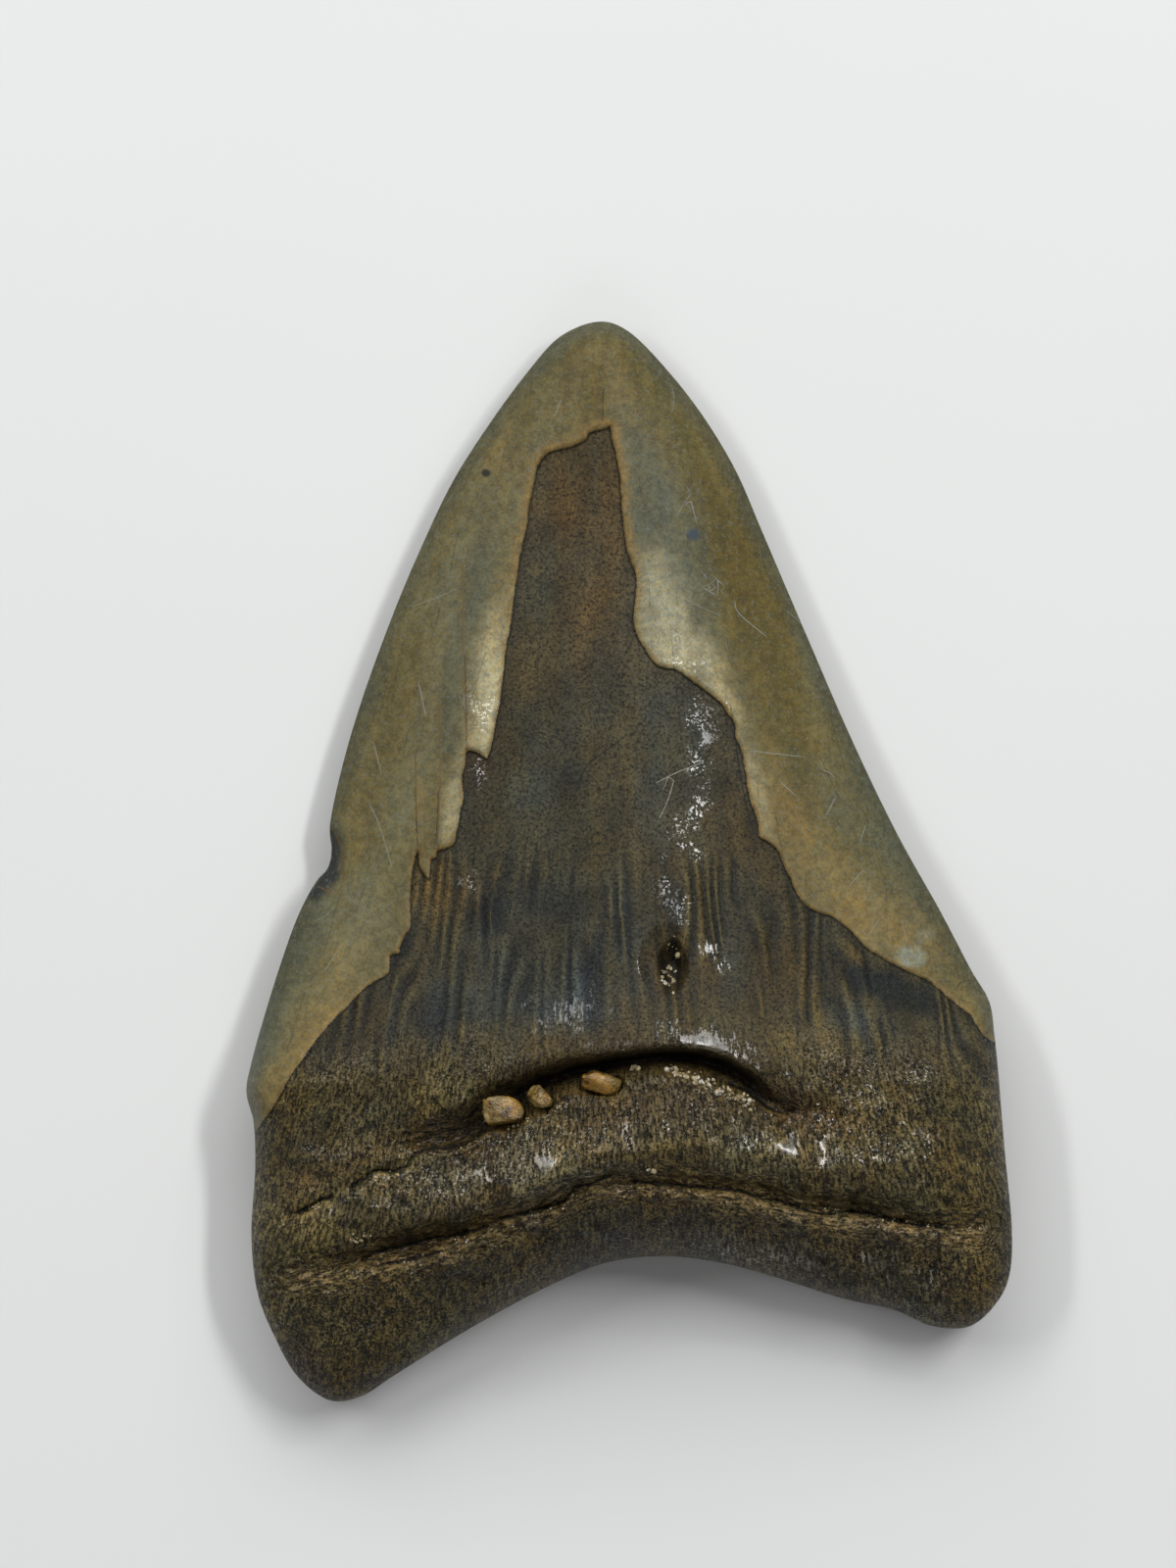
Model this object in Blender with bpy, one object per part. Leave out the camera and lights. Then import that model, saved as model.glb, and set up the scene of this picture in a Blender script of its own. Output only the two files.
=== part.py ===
"""A fossil megalodon tooth with three sand pebbles wedged in the furrow of its root.

The tooth lies on its flat side, tip towards +Y and broad root towards -Y, with the domed side up.
The origin is the middle of its bounding box in plan, on the surface that it rests on.
Sizes in this file are millimetres, and MM turns them into Blender's metres.
"""

import math

import bmesh
import bpy
import numpy as np
from mathutils.geometry import delaunay_2d_cdt

MM = 0.001

# Heights and thicknesses.
ENAMEL_THICKNESS = 0.5
ENAMEL_BEVEL = 0.55  # the broken edge of the enamel slopes over this width
EDGE_WEAR = 1.0  # the enamel thins out over this distance from the cutting edge
ROOT_CENTRE_HEIGHT = 15.4
ROOT_LOBE_HEIGHT = 10.8
ROOT_CENTRE_SPREAD = 17.0
ROOT_LOBE_DROP = 0.12  # fall per millimetre towards the lobes' ends, below LOBE_START
LOBE_START = -24.0
ROOT_ROUNDING_FRONT = 8.5
ROOT_ROUNDING_BACK = 6.0
NECK_START = -9.0  # the crown's dome turns into the root between these
NECK_END = -18.0
DOME_POWER_NECK = 1.75  # 1 would be a roof, 2 a parabola
DOME_POWER_TIP = 2.1
FLAT_SIDE_POWER = 2.4
HOLLOW_DEPTH = 1.1  # the root's flat side is hollowed between its lobes
HOLLOW_HALF_WIDTH = 11.0
PEBBLE_CLEARANCE = 0.34

# Mesh spacing.
OUTLINE_STEP = 1.6
FRONT_STEP = 1.7
BACK_STEP = 2.7
FEATURE_STEP = 1.1
FINE_STEP = 0.4
FURROW_ROWS = (0, 0.55, -0.6, 1.2, -1.3, 2.2, -2.2)  # rows of vertices that follow each furrow
RING_DISTANCES = (0.5, 1.3, 2.4, 4.2)  # rows of vertices that follow the rim inside the outline

# The plan of the tooth, clockwise from the tip: points that one smooth closed curve runs through.
CUTTING_EDGE_RIGHT = [
    (-2.6, 43.4), (-0.2, 42.7), (2.6, 40.0), (5.7, 36.1), (8.5, 31.5), (10.8, 26.2), (14.0, 18.7),
    (17.9, 9.7), (21.5, 2.2), (25.0, -4.1), (27.4, -8.7), (28.9, -11.3), (29.3, -13.8),
]
ROOT_SIDE_RIGHT = [(29.6, -16.7), (30.1, -23.0), (30.7, -29.5), (30.5, -33.4), (29.3, -35.8)]
ROOT_ARCH = [
    (27.2, -37.5), (24.2, -37.4), (21.2, -36.1), (17.1, -35.2), (12.4, -33.7), (7.7, -32.4),
    (3.0, -31.8), (-1.8, -32.3), (-6.5, -34.2), (-12.8, -37.6), (-18.9, -41.4),
]
ROOT_SIDE_LEFT = [
    (-21.6, -43.1), (-24.2, -43.4), (-26.7, -41.5), (-28.4, -38.6), (-29.9, -34.8), (-30.4, -30.1),
    (-30.1, -25.0), (-30.2, -21.2),
]
CUTTING_EDGE_LEFT = [
    (-30.8, -18.7), (-30.5, -16.6), (-29.5, -12.9), (-28.1, -8.4), (-26.7, -4.5), (-25.3, -1.8),
    (-24.3, -0.6), (-24.0, 0.9), (-24.1, 3.0), (-23.1, 7.7), (-21.5, 13.1), (-19.1, 19.7),
    (-16.7, 25.4), (-14.2, 30.6), (-11.2, 35.3), (-8.1, 39.5), (-5.6, 42.2),
]
MIDLINE = [(-2.6, 39.5), (-2.7, 30.0), (-2.7, 18.0), (-2.0, 8.0), (-0.8, 0.0), (0.0, -10.0), (1.5, -24.0)]

# The lower edge of the enamel on the domed side, from the left cutting edge up round the bare
# patch and down to the right cutting edge. On the left the enamel has split off in strips.
ENAMEL_EDGE_FRONT = [
    (-34.0, -24.0), (-29.8, -21.2), (-27.8, -18.6), (-25.6, -15.7), (-23.0, -12.8), (-20.3, -10.0),
    (-19.2, -9.3), (-19.1, -7.8), (-18.2, -7.1), (-17.6, -5.0), (-17.5, -1.8), (-17.1, 0.6),
    (-16.5, -1.4), (-16.0, -0.6), (-15.4, 0.9), (-14.3, 1.5), (-13.6, 4.0), (-13.3, 8.6),
    (-11.5, 8.4), (-10.6, 12.4), (-9.9, 17.0), (-9.3, 22.0), (-8.4, 26.6), (-7.8, 30.6),
    (-7.3, 32.2), (-6.1, 33.1), (-4.1, 33.6), (-2.6, 34.6), (-1.7, 34.9), (-0.8, 32.2),
    (-0.6, 28.4), (0.2, 23.8), (0.5, 21.6), (0.3, 19.0), (1.6, 16.4), (3.4, 15.2),
    (5.3, 14.3), (7.5, 12.4), (8.9, 10.1), (9.6, 6.4), (10.3, 2.4), (11.5, 1.0),
    (12.8, -1.2), (14.8, -3.7), (17.1, -4.9), (19.6, -7.2), (22.9, -9.5), (25.8, -11.2),
    (28.1, -13.6), (29.6, -14.6), (34.0, -15.4),
]
# On the flat side the enamel is whole and ends in one low arch.
ENAMEL_EDGE_BACK = [
    (-34.0, -22.0), (-29.4, -20.4), (-24.0, -17.6), (-14.0, -14.6), (-1.0, -13.0), (12.0, -13.6),
    (22.0, -14.6), (28.6, -14.6), (34.0, -14.8),
]
ROOT_CORNERS = [(34.0, -60.0), (-34.0, -60.0)]  # close the bare area below either enamel edge

# Hollows: (x, y, x radius, y radius, depth).
EDGE_CHIP = (-25.2, -0.2, 2.6, 3.0, 0.75)  # a flake lost from the left cutting edge
VESSEL_DISH = (2.9, -8.2, 1.7, 2.8, 0.75)  # the hole of a blood vessel in the neck
VESSEL_PIT = (3.3, -9.1, 1.1, 1.6, 1.5)

# Furrows (height below 0) and ridges of the root's domed side:
# (x, y, height, half width towards the tip, half width away from it).
UPPER_FURROW = [
    (-18.4, -22.7, -0.2, 1.2, 0.6), (-16.3, -22.3, -1.3, 2.0, 0.6), (-14.0, -22.0, -2.2, 2.2, 0.6),
    (-12.2, -21.2, -2.6, 2.0, 0.7), (-10.5, -19.9, -2.7, 1.6, 1.0), (-8.6, -18.7, -2.9, 1.3, 1.1),
    (-6.1, -17.4, -3.1, 1.1, 1.0), (-3.0, -16.5, -3.2, 1.0, 0.9), (0.2, -15.9, -3.2, 0.9, 0.9),
    (3.2, -15.6, -3.3, 0.85, 0.9), (6.3, -16.0, -3.2, 0.85, 0.9), (8.8, -17.2, -2.8, 0.9, 0.9),
    (10.8, -18.6, -2.0, 1.0, 0.9), (12.8, -19.5, -1.0, 1.1, 0.9), (15.0, -20.1, -0.45, 1.0, 0.9),
    (17.5, -20.6, -0.1, 0.8, 0.8),
]
FURROW_LIP = [
    (-14.0, -18.6, 0.1, 1.9, 1.3), (-10.5, -17.0, 0.4, 1.9, 1.3), (-7.0, -15.5, 0.7, 1.9, 1.3),
    (-3.0, -14.6, 1.0, 2.0, 1.2), (1.5, -14.1, 1.3, 2.1, 1.2), (5.0, -14.2, 1.5, 2.1, 1.2),
    (8.5, -15.3, 1.3, 2.0, 1.2), (11.5, -16.9, 0.8, 1.9, 1.2), (14.0, -18.4, 0.2, 1.8, 1.2),
]
ROOT_BULGE = [
    (-25.0, -29.9, 0.3, 3.2, 1.5), (-19.0, -28.4, 0.9, 3.3, 1.5), (-13.0, -26.6, 1.2, 3.4, 1.5),
    (-7.0, -24.9, 1.4, 3.5, 1.5), (-1.0, -23.0, 1.4, 3.5, 1.4), (5.0, -22.6, 1.4, 3.5, 1.4),
    (11.0, -23.6, 1.4, 3.5, 1.5), (17.0, -24.9, 1.1, 3.4, 1.5), (23.0, -26.3, 0.5, 3.2, 1.5),
]
LOWER_FURROW = [
    (-27.5, -33.0, -0.1, 1.3, 1.0), (-24.5, -32.2, -0.5, 1.2, 0.8), (-21.0, -31.3, -0.9, 1.3, 0.6),
    (-17.5, -30.9, -1.2, 1.3, 0.5), (-14.3, -30.2, -1.1, 1.0, 0.5), (-12.0, -29.3, -0.7, 0.9, 0.6),
    (-9.5, -28.5, -0.7, 1.1, 0.7), (-6.3, -27.2, -0.8, 1.1, 0.7), (-3.2, -25.8, -0.6, 0.8, 0.6),
    (0.5, -25.0, -0.6, 0.7, 0.6), (4.5, -24.8, -0.6, 0.7, 0.6), (8.0, -25.3, -0.8, 0.8, 0.5),
    (11.0, -26.2, -1.0, 0.9, 0.5), (13.5, -27.0, -1.1, 0.9, 0.5), (17.0, -27.6, -1.1, 0.9, 0.5),
    (20.5, -28.5, -1.0, 0.9, 0.5), (24.5, -29.0, -0.6, 0.9, 0.6), (28.1, -29.2, -0.1, 1.1, 1.0),
]
LOWER_LEDGE = [
    (-25.0, -34.3, 0.1, 0.8, 1.5), (-21.0, -33.5, 0.35, 0.8, 1.5), (-16.5, -32.6, 0.5, 0.7, 1.4),
    (-12.5, -30.9, 0.5, 0.7, 1.2), (-8.5, -29.9, 0.3, 0.8, 1.2), (-4.0, -27.2, 0.45, 0.7, 1.2),
    (0.5, -26.3, 0.45, 0.7, 1.2), (5.0, -26.1, 0.45, 0.7, 1.2), (9.0, -26.9, 0.5, 0.7, 1.2),
    (13.5, -28.2, 0.55, 0.7, 1.3), (18.0, -29.0, 0.5, 0.7, 1.3), (22.0, -29.9, 0.4, 0.7, 1.3),
    (26.0, -30.5, 0.15, 0.8, 1.3),
]

# Heights along the tooth, from the root to the tip: (y, height).
RIM_HEIGHT = [
    (-44.0, 4.4), (-36.0, 5.0), (-30.0, 5.5), (-22.0, 5.5), (-16.0, 5.0), (-8.0, 4.4), (0.0, 3.9),
    (20.0, 3.1), (36.0, 2.8), (44.0, 2.7),
]
DOME_ABOVE_RIM = [
    (-24.0, 10.0), (-16.0, 9.6), (-10.0, 9.15), (-4.0, 8.6), (5.0, 7.5), (15.0, 6.05), (22.0, 4.8),
    (27.0, 3.95), (33.0, 3.2), (39.0, 2.6), (44.0, 2.2),
]
FLAT_SIDE_BELOW_RIM = [
    (-24.0, 5.0), (-14.0, 4.5), (-4.0, 3.75), (5.0, 3.4), (15.0, 2.95), (28.0, 2.55), (36.0, 1.9),
    (44.0, 1.2),
]

TOOTH_COLOUR = (0.082, 0.071, 0.042)
# Pebbles: name, centre, radii, turn about Z in degrees, seed of its facets, colour.
PEBBLES = [
    ("pebble_left", (-10.2, -19.9, 13.5), (1.75, 1.35, 1.15), -20.0, 3, (0.33, 0.21, 0.07)),
    ("pebble_middle", (-7.2, -18.9, 13.7), (1.0, 1.15, 0.9), 15.0, 8, (0.24, 0.18, 0.07)),
    ("pebble_right", (-2.6, -17.5, 14.3), (1.95, 1.0, 0.95), -6.0, 5, (0.22, 0.14, 0.06)),
]
PEBBLE_CORNERS = 60


def smooth_curve(points, step, closed=False):
    """Points about step apart on a Catmull-Rom curve; columns after x and y are carried along."""
    knots = np.array(points, float)
    if closed:
        knots = np.vstack([knots[-1], knots, knots[:2]])
    else:
        knots = np.vstack([2 * knots[0] - knots[1], knots, 2 * knots[-1] - knots[-2]])
    t = np.linspace(0, 1, 24, endpoint=False)[:, None]
    spans = [
        0.5 * (2 * b + (c - a) * t + (2 * a - 5 * b + 4 * c - d) * t**2 + (3 * b - a - 3 * c + d) * t**3)
        for a, b, c, d in zip(knots, knots[1:], knots[2:], knots[3:])
    ]
    fine = np.vstack(spans + [knots[-2:-1]])
    along = np.r_[0, np.cumsum(np.hypot(*np.diff(fine[:, :2], axis=0).T))]
    count = max(3, round(along[-1] / step))
    stops = np.linspace(0, along[-1], count + 1)[: count if closed else count + 1]
    return np.column_stack([np.interp(stops, along, column) for column in fine.T])


def nearest(points, line, closed=False):
    """Each point's distance to a line, above 0 on its left, and the line's further columns there."""
    ends = np.roll(line, -1, axis=0) if closed else line[1:]
    distance = np.full(len(points), np.inf)
    side = np.ones(len(points))
    carried = np.zeros((len(points), line.shape[1] - 2))
    for a, b in zip(line, ends):
        run = b[:2] - a[:2]
        there = points - a[:2]
        t = np.clip(there @ run / (run @ run), 0, 1)
        gap = np.hypot(*(there - t[:, None] * run).T)
        nearer = gap < distance
        distance[nearer] = gap[nearer]
        side[nearer] = np.sign(run[0] * there[:, 1] - run[1] * there[:, 0])[nearer]
        carried[nearer] = (a[2:] + t[:, None] * (b[2:] - a[2:]))[nearer]
    return distance * side, carried


def is_inside(points, loop):
    """Whether each point is inside a closed loop, by counting the edges to its right."""
    x, y = points.T
    inside = np.zeros(len(points), bool)
    for (ax, ay), (bx, by) in zip(loop, np.roll(loop, -1, axis=0)):
        if ay != by:
            inside ^= ((ay > y) != (by > y)) & (x < ax + (y - ay) * (bx - ax) / (by - ay))
    return inside


def from_table(table, y):
    """A table of (y, height) read as one smooth curve."""
    knots, heights = np.array(table).T
    slopes = np.gradient(heights, knots)
    i = np.clip(np.searchsorted(knots, y) - 1, 0, len(knots) - 2)
    width = knots[i + 1] - knots[i]
    t = np.clip((y - knots[i]) / width, 0, 1)
    low = (1 + 2 * t) * (1 - t) ** 2 * heights[i] + t * (1 - t) ** 2 * width * slopes[i]
    high = t * t * (3 - 2 * t) * heights[i + 1] - t * t * (1 - t) * width * slopes[i + 1]
    return low + high


def ease(start, end, value):
    """0 at start and 1 at end, with a smooth step between."""
    t = np.clip((value - start) / (end - start), 0, 1)
    return t * t * (3 - 2 * t)


def quarter_round(distance, radius):
    """0 at the rim and 1 at radius, rising as a quarter of a circle."""
    return np.sqrt(1 - (1 - np.clip(distance / radius, 0, 1)) ** 2)


def hollow(points, x, y, x_radius, y_radius, depth):
    """The depth of a round-bottomed hollow at each point."""
    r = ((points[:, 0] - x) / x_radius) ** 2 + ((points[:, 1] - y) / y_radius) ** 2
    return depth * (1 - np.clip(r, 0, 1)) ** 1.2


OUTLINE_KNOTS = CUTTING_EDGE_RIGHT + ROOT_SIDE_RIGHT + ROOT_ARCH + ROOT_SIDE_LEFT + CUTTING_EDGE_LEFT
OUTLINE = smooth_curve(OUTLINE_KNOTS, OUTLINE_STEP, closed=True)
FINE_OUTLINE = smooth_curve(OUTLINE_KNOTS, FINE_STEP, closed=True)
ENAMEL_FRONT = smooth_curve(ENAMEL_EDGE_FRONT, FEATURE_STEP)
ENAMEL_BACK = smooth_curve(ENAMEL_EDGE_BACK, BACK_STEP)
RELIEF = [
    smooth_curve(route, FEATURE_STEP)
    for route in (UPPER_FURROW, FURROW_LIP, ROOT_BULGE, LOWER_FURROW, LOWER_LEDGE)
]


def rim_distance(points):
    return np.abs(nearest(points, FINE_OUTLINE, closed=True)[0])


def from_rim_to_middle(points):
    """0 at the rim and 1 on the midline."""
    to_rim = rim_distance(points)
    to_middle = np.abs(nearest(points, np.array(MIDLINE))[0])
    return to_rim / (to_rim + to_middle)


def enamel(points, edge):
    """How far the enamel stands above the dentine that it covers."""
    bare = np.vstack([edge[:, :2], ROOT_CORNERS])
    covered = ~is_inside(points, bare)
    step = ease(0, ENAMEL_BEVEL, np.abs(nearest(points, edge[:, :2])[0]))
    return ENAMEL_THICKNESS * covered * step * ease(0, EDGE_WEAR, rim_distance(points))


def root_relief(points):
    """The furrows and ridges of the root."""
    total = np.zeros(len(points))
    for route in RELIEF:
        distance, shape = nearest(points, route)
        height, towards_tip, away = shape.T
        total += height * np.exp(-((distance / np.where(distance > 0, towards_tip, away)) ** 2))
    return total * ease(0, 5, rim_distance(points))


def pebble_frame(points, centre, radii, turn):
    """Each point in a pebble's own plan, where its clearance is the unit circle."""
    turned = math.radians(turn)
    dx, dy = (points - centre[:2]).T
    u = (dx * math.cos(turned) + dy * math.sin(turned)) / (radii[0] + PEBBLE_CLEARANCE)
    v = (dy * math.cos(turned) - dx * math.sin(turned)) / (radii[1] + PEBBLE_CLEARANCE)
    return u, v


def below_pebbles(points):
    """The highest that the tooth may reach so that every pebble stays clear of it."""
    ceiling = np.full(len(points), np.inf)
    for _, centre, radii, turn, _, _ in PEBBLES:
        r = np.hypot(*pebble_frame(points, centre, radii, turn))
        bowl = centre[2] - (radii[2] + PEBBLE_CLEARANCE) * np.sqrt(1 - np.clip(r, 0, 1) ** 2)
        ceiling = np.where(r < 1.05, np.minimum(ceiling, bowl), ceiling)
    return ceiling


def bare_front(points):
    """Height of the domed side without its pebble sockets."""
    x, y = points.T
    to_rim = rim_distance(points)
    rim = from_table(RIM_HEIGHT, y) - hollow(points, *EDGE_CHIP)
    power = DOME_POWER_NECK + (DOME_POWER_TIP - DOME_POWER_NECK) * ease(-10, 35, y)
    dome = 1 - (1 - from_rim_to_middle(points)) ** power
    crown = rim + from_table(DOME_ABOVE_RIM, y) * dome
    middle = np.exp(-((x / ROOT_CENTRE_SPREAD) ** 2))
    top = ROOT_LOBE_HEIGHT + (ROOT_CENTRE_HEIGHT - ROOT_LOBE_HEIGHT) * middle
    top -= ROOT_LOBE_DROP * np.clip(LOBE_START - y, 0, None)
    root = rim + (top - rim) * quarter_round(to_rim, ROOT_ROUNDING_FRONT)
    height = crown + (root - crown) * ease(NECK_START, NECK_END, y)
    height += root_relief(points) + enamel(points, ENAMEL_FRONT)
    return height - hollow(points, *VESSEL_DISH) - hollow(points, *VESSEL_PIT)


def front(points):
    return np.minimum(bare_front(points), below_pebbles(points))


def back(points):
    """Height of the flat side, worn level with the ground where the tooth rests on it."""
    x, y = points.T
    to_rim = rim_distance(points)
    rim = from_table(RIM_HEIGHT, y) - hollow(points, *EDGE_CHIP) * (1 - ease(0, 1, to_rim))
    dome = 1 - (1 - from_rim_to_middle(points)) ** FLAT_SIDE_POWER
    crown = rim - from_table(FLAT_SIDE_BELOW_RIM, y) * dome
    base = HOLLOW_DEPTH * np.exp(-((x / HOLLOW_HALF_WIDTH) ** 2)) - 0.15
    root = rim + (base - rim) * quarter_round(to_rim, ROOT_ROUNDING_BACK)
    height = crown + (root - crown) * ease(NECK_START, NECK_END, y)
    return np.maximum(height - enamel(points, ENAMEL_BACK), 0)


def beside(line, offset):
    """A line moved sideways by offset, to its left if that is above 0."""
    run = np.gradient(line[:, :2], axis=0)
    return line[:, :2] + offset * np.column_stack([-run[:, 1], run[:, 0]]) / np.hypot(*run.T)[:, None]


def ring(distance):
    """The outline's points moved inwards, without those that land near another stretch of it."""
    inner = beside(np.vstack([OUTLINE[-1], OUTLINE, OUTLINE[0]]), -distance)[1:-1]
    return inner[rim_distance(inner) > 0.9 * distance]


def honeycomb(step):
    """Points of a triangular grid over the outline's box."""
    low, high = OUTLINE.min(axis=0), OUTLINE.max(axis=0)
    rows = []
    for i, y in enumerate(np.arange(low[1], high[1], step * math.sqrt(3) / 2)):
        x = np.arange(low[0], high[0], step) + step / 2 * (i % 2)
        rows.append(np.column_stack([x, np.full(len(x), y)]))
    return np.vstack(rows)


def with_room(kept, points, apart, from_rim=0.45):
    """Kept points plus each inner point that is at least apart from all of them."""
    inner = points[is_inside(points, OUTLINE)]
    inner = inner[rim_distance(inner) > from_rim * apart]
    for point in inner:
        if np.hypot(*(kept - point).T).min() > apart:
            kept = np.vstack([kept, point])
    return kept


def socket_points():
    """Points in and round the socket of each pebble, so that the mesh follows it closely."""
    rings = []
    for _, centre, radii, turn, _, _ in PEBBLES:
        turned = math.radians(turn)
        axis = np.array([math.cos(turned), math.sin(turned)])
        across = np.array([-axis[1], axis[0]])
        for size, count in ((1.04, 14), (1.3, 14), (0.6, 7), (0.0, 1)):
            for angle in np.arange(count) * math.tau / count:
                u = size * (radii[0] + PEBBLE_CLEARANCE) * math.cos(angle)
                v = size * (radii[1] + PEBBLE_CLEARANCE) * math.sin(angle)
                rings.append(np.array(centre[:2]) + u * axis + v * across)
    return np.array(rings)


def front_points():
    """The plan of the domed side's vertices: features first, then an even fill."""
    kept = with_room(OUTLINE, socket_points(), 0.3)
    kept = with_room(kept, ENAMEL_FRONT[:, :2], 0.5)
    for offset in (ENAMEL_BEVEL, -0.8, 1.5):
        kept = with_room(kept, beside(ENAMEL_FRONT, offset), 0.5)
    for route, room in ((RELIEF[0], 0.5), (RELIEF[3], 0.55)):
        for offset in FURROW_ROWS:
            kept = with_room(kept, beside(route, offset), room)
    for route in (RELIEF[1], RELIEF[4]):
        kept = with_room(kept, beside(route, 0), 0.7)
    for x, y, x_radius, y_radius, _ in (VESSEL_PIT, VESSEL_DISH, EDGE_CHIP):
        angles = np.linspace(0, math.tau, 10, endpoint=False)
        circle = np.column_stack([x_radius * np.cos(angles), y_radius * np.sin(angles)])
        for size in (0, 0.5, 1):
            kept = with_room(kept, (x, y) + size * circle, 0.4)
    for distance in RING_DISTANCES:
        kept = with_room(kept, ring(distance), 0.85 * min(distance, 1), from_rim=0)
    return with_room(kept, honeycomb(FRONT_STEP), 0.72 * FRONT_STEP)


def back_points():
    """The plan of the flat side's vertices."""
    kept = OUTLINE
    for distance in RING_DISTANCES:
        kept = with_room(kept, ring(distance), 0.85 * min(distance, 1), from_rim=0)
    for offset in (0, ENAMEL_BEVEL):
        kept = with_room(kept, beside(smooth_curve(ENAMEL_EDGE_BACK, 1.6), offset), 0.5)
    return with_room(kept, honeycomb(BACK_STEP), 0.72 * BACK_STEP)


def add_sheet(mesh, plan, height):
    """One side of the tooth: its plan triangulated inside the outline and raised to its height."""
    rim = [(i, (i + 1) % len(OUTLINE)) for i in range(len(OUTLINE))]
    flat, _, triangles, _, _, _ = delaunay_2d_cdt([tuple(p) for p in plan], rim, [], 1, 1e-6)
    flat = np.array([tuple(p) for p in flat])
    z = height(flat)
    on_rim = rim_distance(flat) < 0.02
    z[on_rim] = (from_table(RIM_HEIGHT, flat[:, 1]) - hollow(flat, *EDGE_CHIP))[on_rim]
    verts = [mesh.verts.new((x * MM, y * MM, h * MM)) for (x, y), h in zip(flat, z)]
    for triangle in triangles:
        mesh.faces.new([verts[i] for i in triangle])


def make_object(name, mesh, colour, roughness):
    """Turns a bmesh into a named, smooth-shaded object with its own material."""
    bmesh.ops.recalc_face_normals(mesh, faces=mesh.faces)
    data = bpy.data.meshes.new(name)
    mesh.to_mesh(data)
    mesh.free()
    data.shade_smooth()
    data.set_sharp_from_angle(angle=math.radians(35))
    material = bpy.data.materials.new(name)
    material.use_nodes = True
    shader = material.node_tree.nodes["Principled BSDF"]
    shader.inputs["Base Color"].default_value = (*colour, 1)
    shader.inputs["Roughness"].default_value = roughness
    data.materials.append(material)
    piece = bpy.data.objects.new(name, data)
    bpy.context.collection.objects.link(piece)
    return piece


def make_tooth():
    """Two sheets that share the rim: the domed side and the flat side."""
    mesh = bmesh.new()
    add_sheet(mesh, front_points(), front)
    add_sheet(mesh, back_points(), back)
    bmesh.ops.remove_doubles(mesh, verts=mesh.verts, dist=1e-7)
    return make_object("tooth", mesh, TOOTH_COLOUR, 0.45)


def make_pebble(name, centre, radii, turn, seed, colour):
    """A worn sand grain: the convex hull of scattered points near an ellipsoid."""
    rng = np.random.default_rng(seed)
    corners = rng.normal(size=(PEBBLE_CORNERS, 3))
    corners *= (rng.uniform(0.86, 0.98, PEBBLE_CORNERS) / np.linalg.norm(corners, axis=1))[:, None]
    corners *= radii
    turned = math.radians(turn)
    x = corners[:, 0] * math.cos(turned) - corners[:, 1] * math.sin(turned)
    y = corners[:, 0] * math.sin(turned) + corners[:, 1] * math.cos(turned)
    mesh = bmesh.new()
    for corner in zip(x, y, corners[:, 2]):
        mesh.verts.new([MM * value for value in corner])
    hull = bmesh.ops.convex_hull(mesh, input=mesh.verts)
    loose = set(hull["geom_interior"]) | set(hull["geom_unused"])
    bmesh.ops.delete(mesh, geom=[v for v in mesh.verts if v in loose or not v.link_faces], context="VERTS")
    piece = make_object(name, mesh, colour, 0.5)
    piece.location = [MM * value for value in centre]


for old in list(bpy.data.objects):
    bpy.data.objects.remove(old)
make_tooth()
for pebble in PEBBLES:
    make_pebble(*pebble)
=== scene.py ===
# A fossil megalodon tooth that lies on its flat side, with sand grains lodged in the furrow of its root.
import math

import bmesh
import bpy
import numpy as np
from mathutils import Matrix, kdtree
from mathutils.geometry import delaunay_2d_cdt


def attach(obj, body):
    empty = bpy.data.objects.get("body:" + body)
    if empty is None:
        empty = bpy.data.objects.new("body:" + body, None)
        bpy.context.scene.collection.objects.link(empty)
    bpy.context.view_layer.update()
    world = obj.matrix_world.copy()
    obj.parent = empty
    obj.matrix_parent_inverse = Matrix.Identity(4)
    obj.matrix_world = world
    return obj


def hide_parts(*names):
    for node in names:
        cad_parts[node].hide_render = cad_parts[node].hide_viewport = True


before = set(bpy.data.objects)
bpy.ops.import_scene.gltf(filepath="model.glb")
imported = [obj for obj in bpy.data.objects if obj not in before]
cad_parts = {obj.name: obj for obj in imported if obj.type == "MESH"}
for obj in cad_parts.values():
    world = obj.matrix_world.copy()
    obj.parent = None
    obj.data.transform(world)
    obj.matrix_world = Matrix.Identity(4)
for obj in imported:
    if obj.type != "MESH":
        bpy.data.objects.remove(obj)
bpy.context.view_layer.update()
mm = 0.001  # every length below is in millimetres, and this turns it into metres
planFit = 0.9985  # keeps the smooth outline inside that of the plain solid

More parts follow.
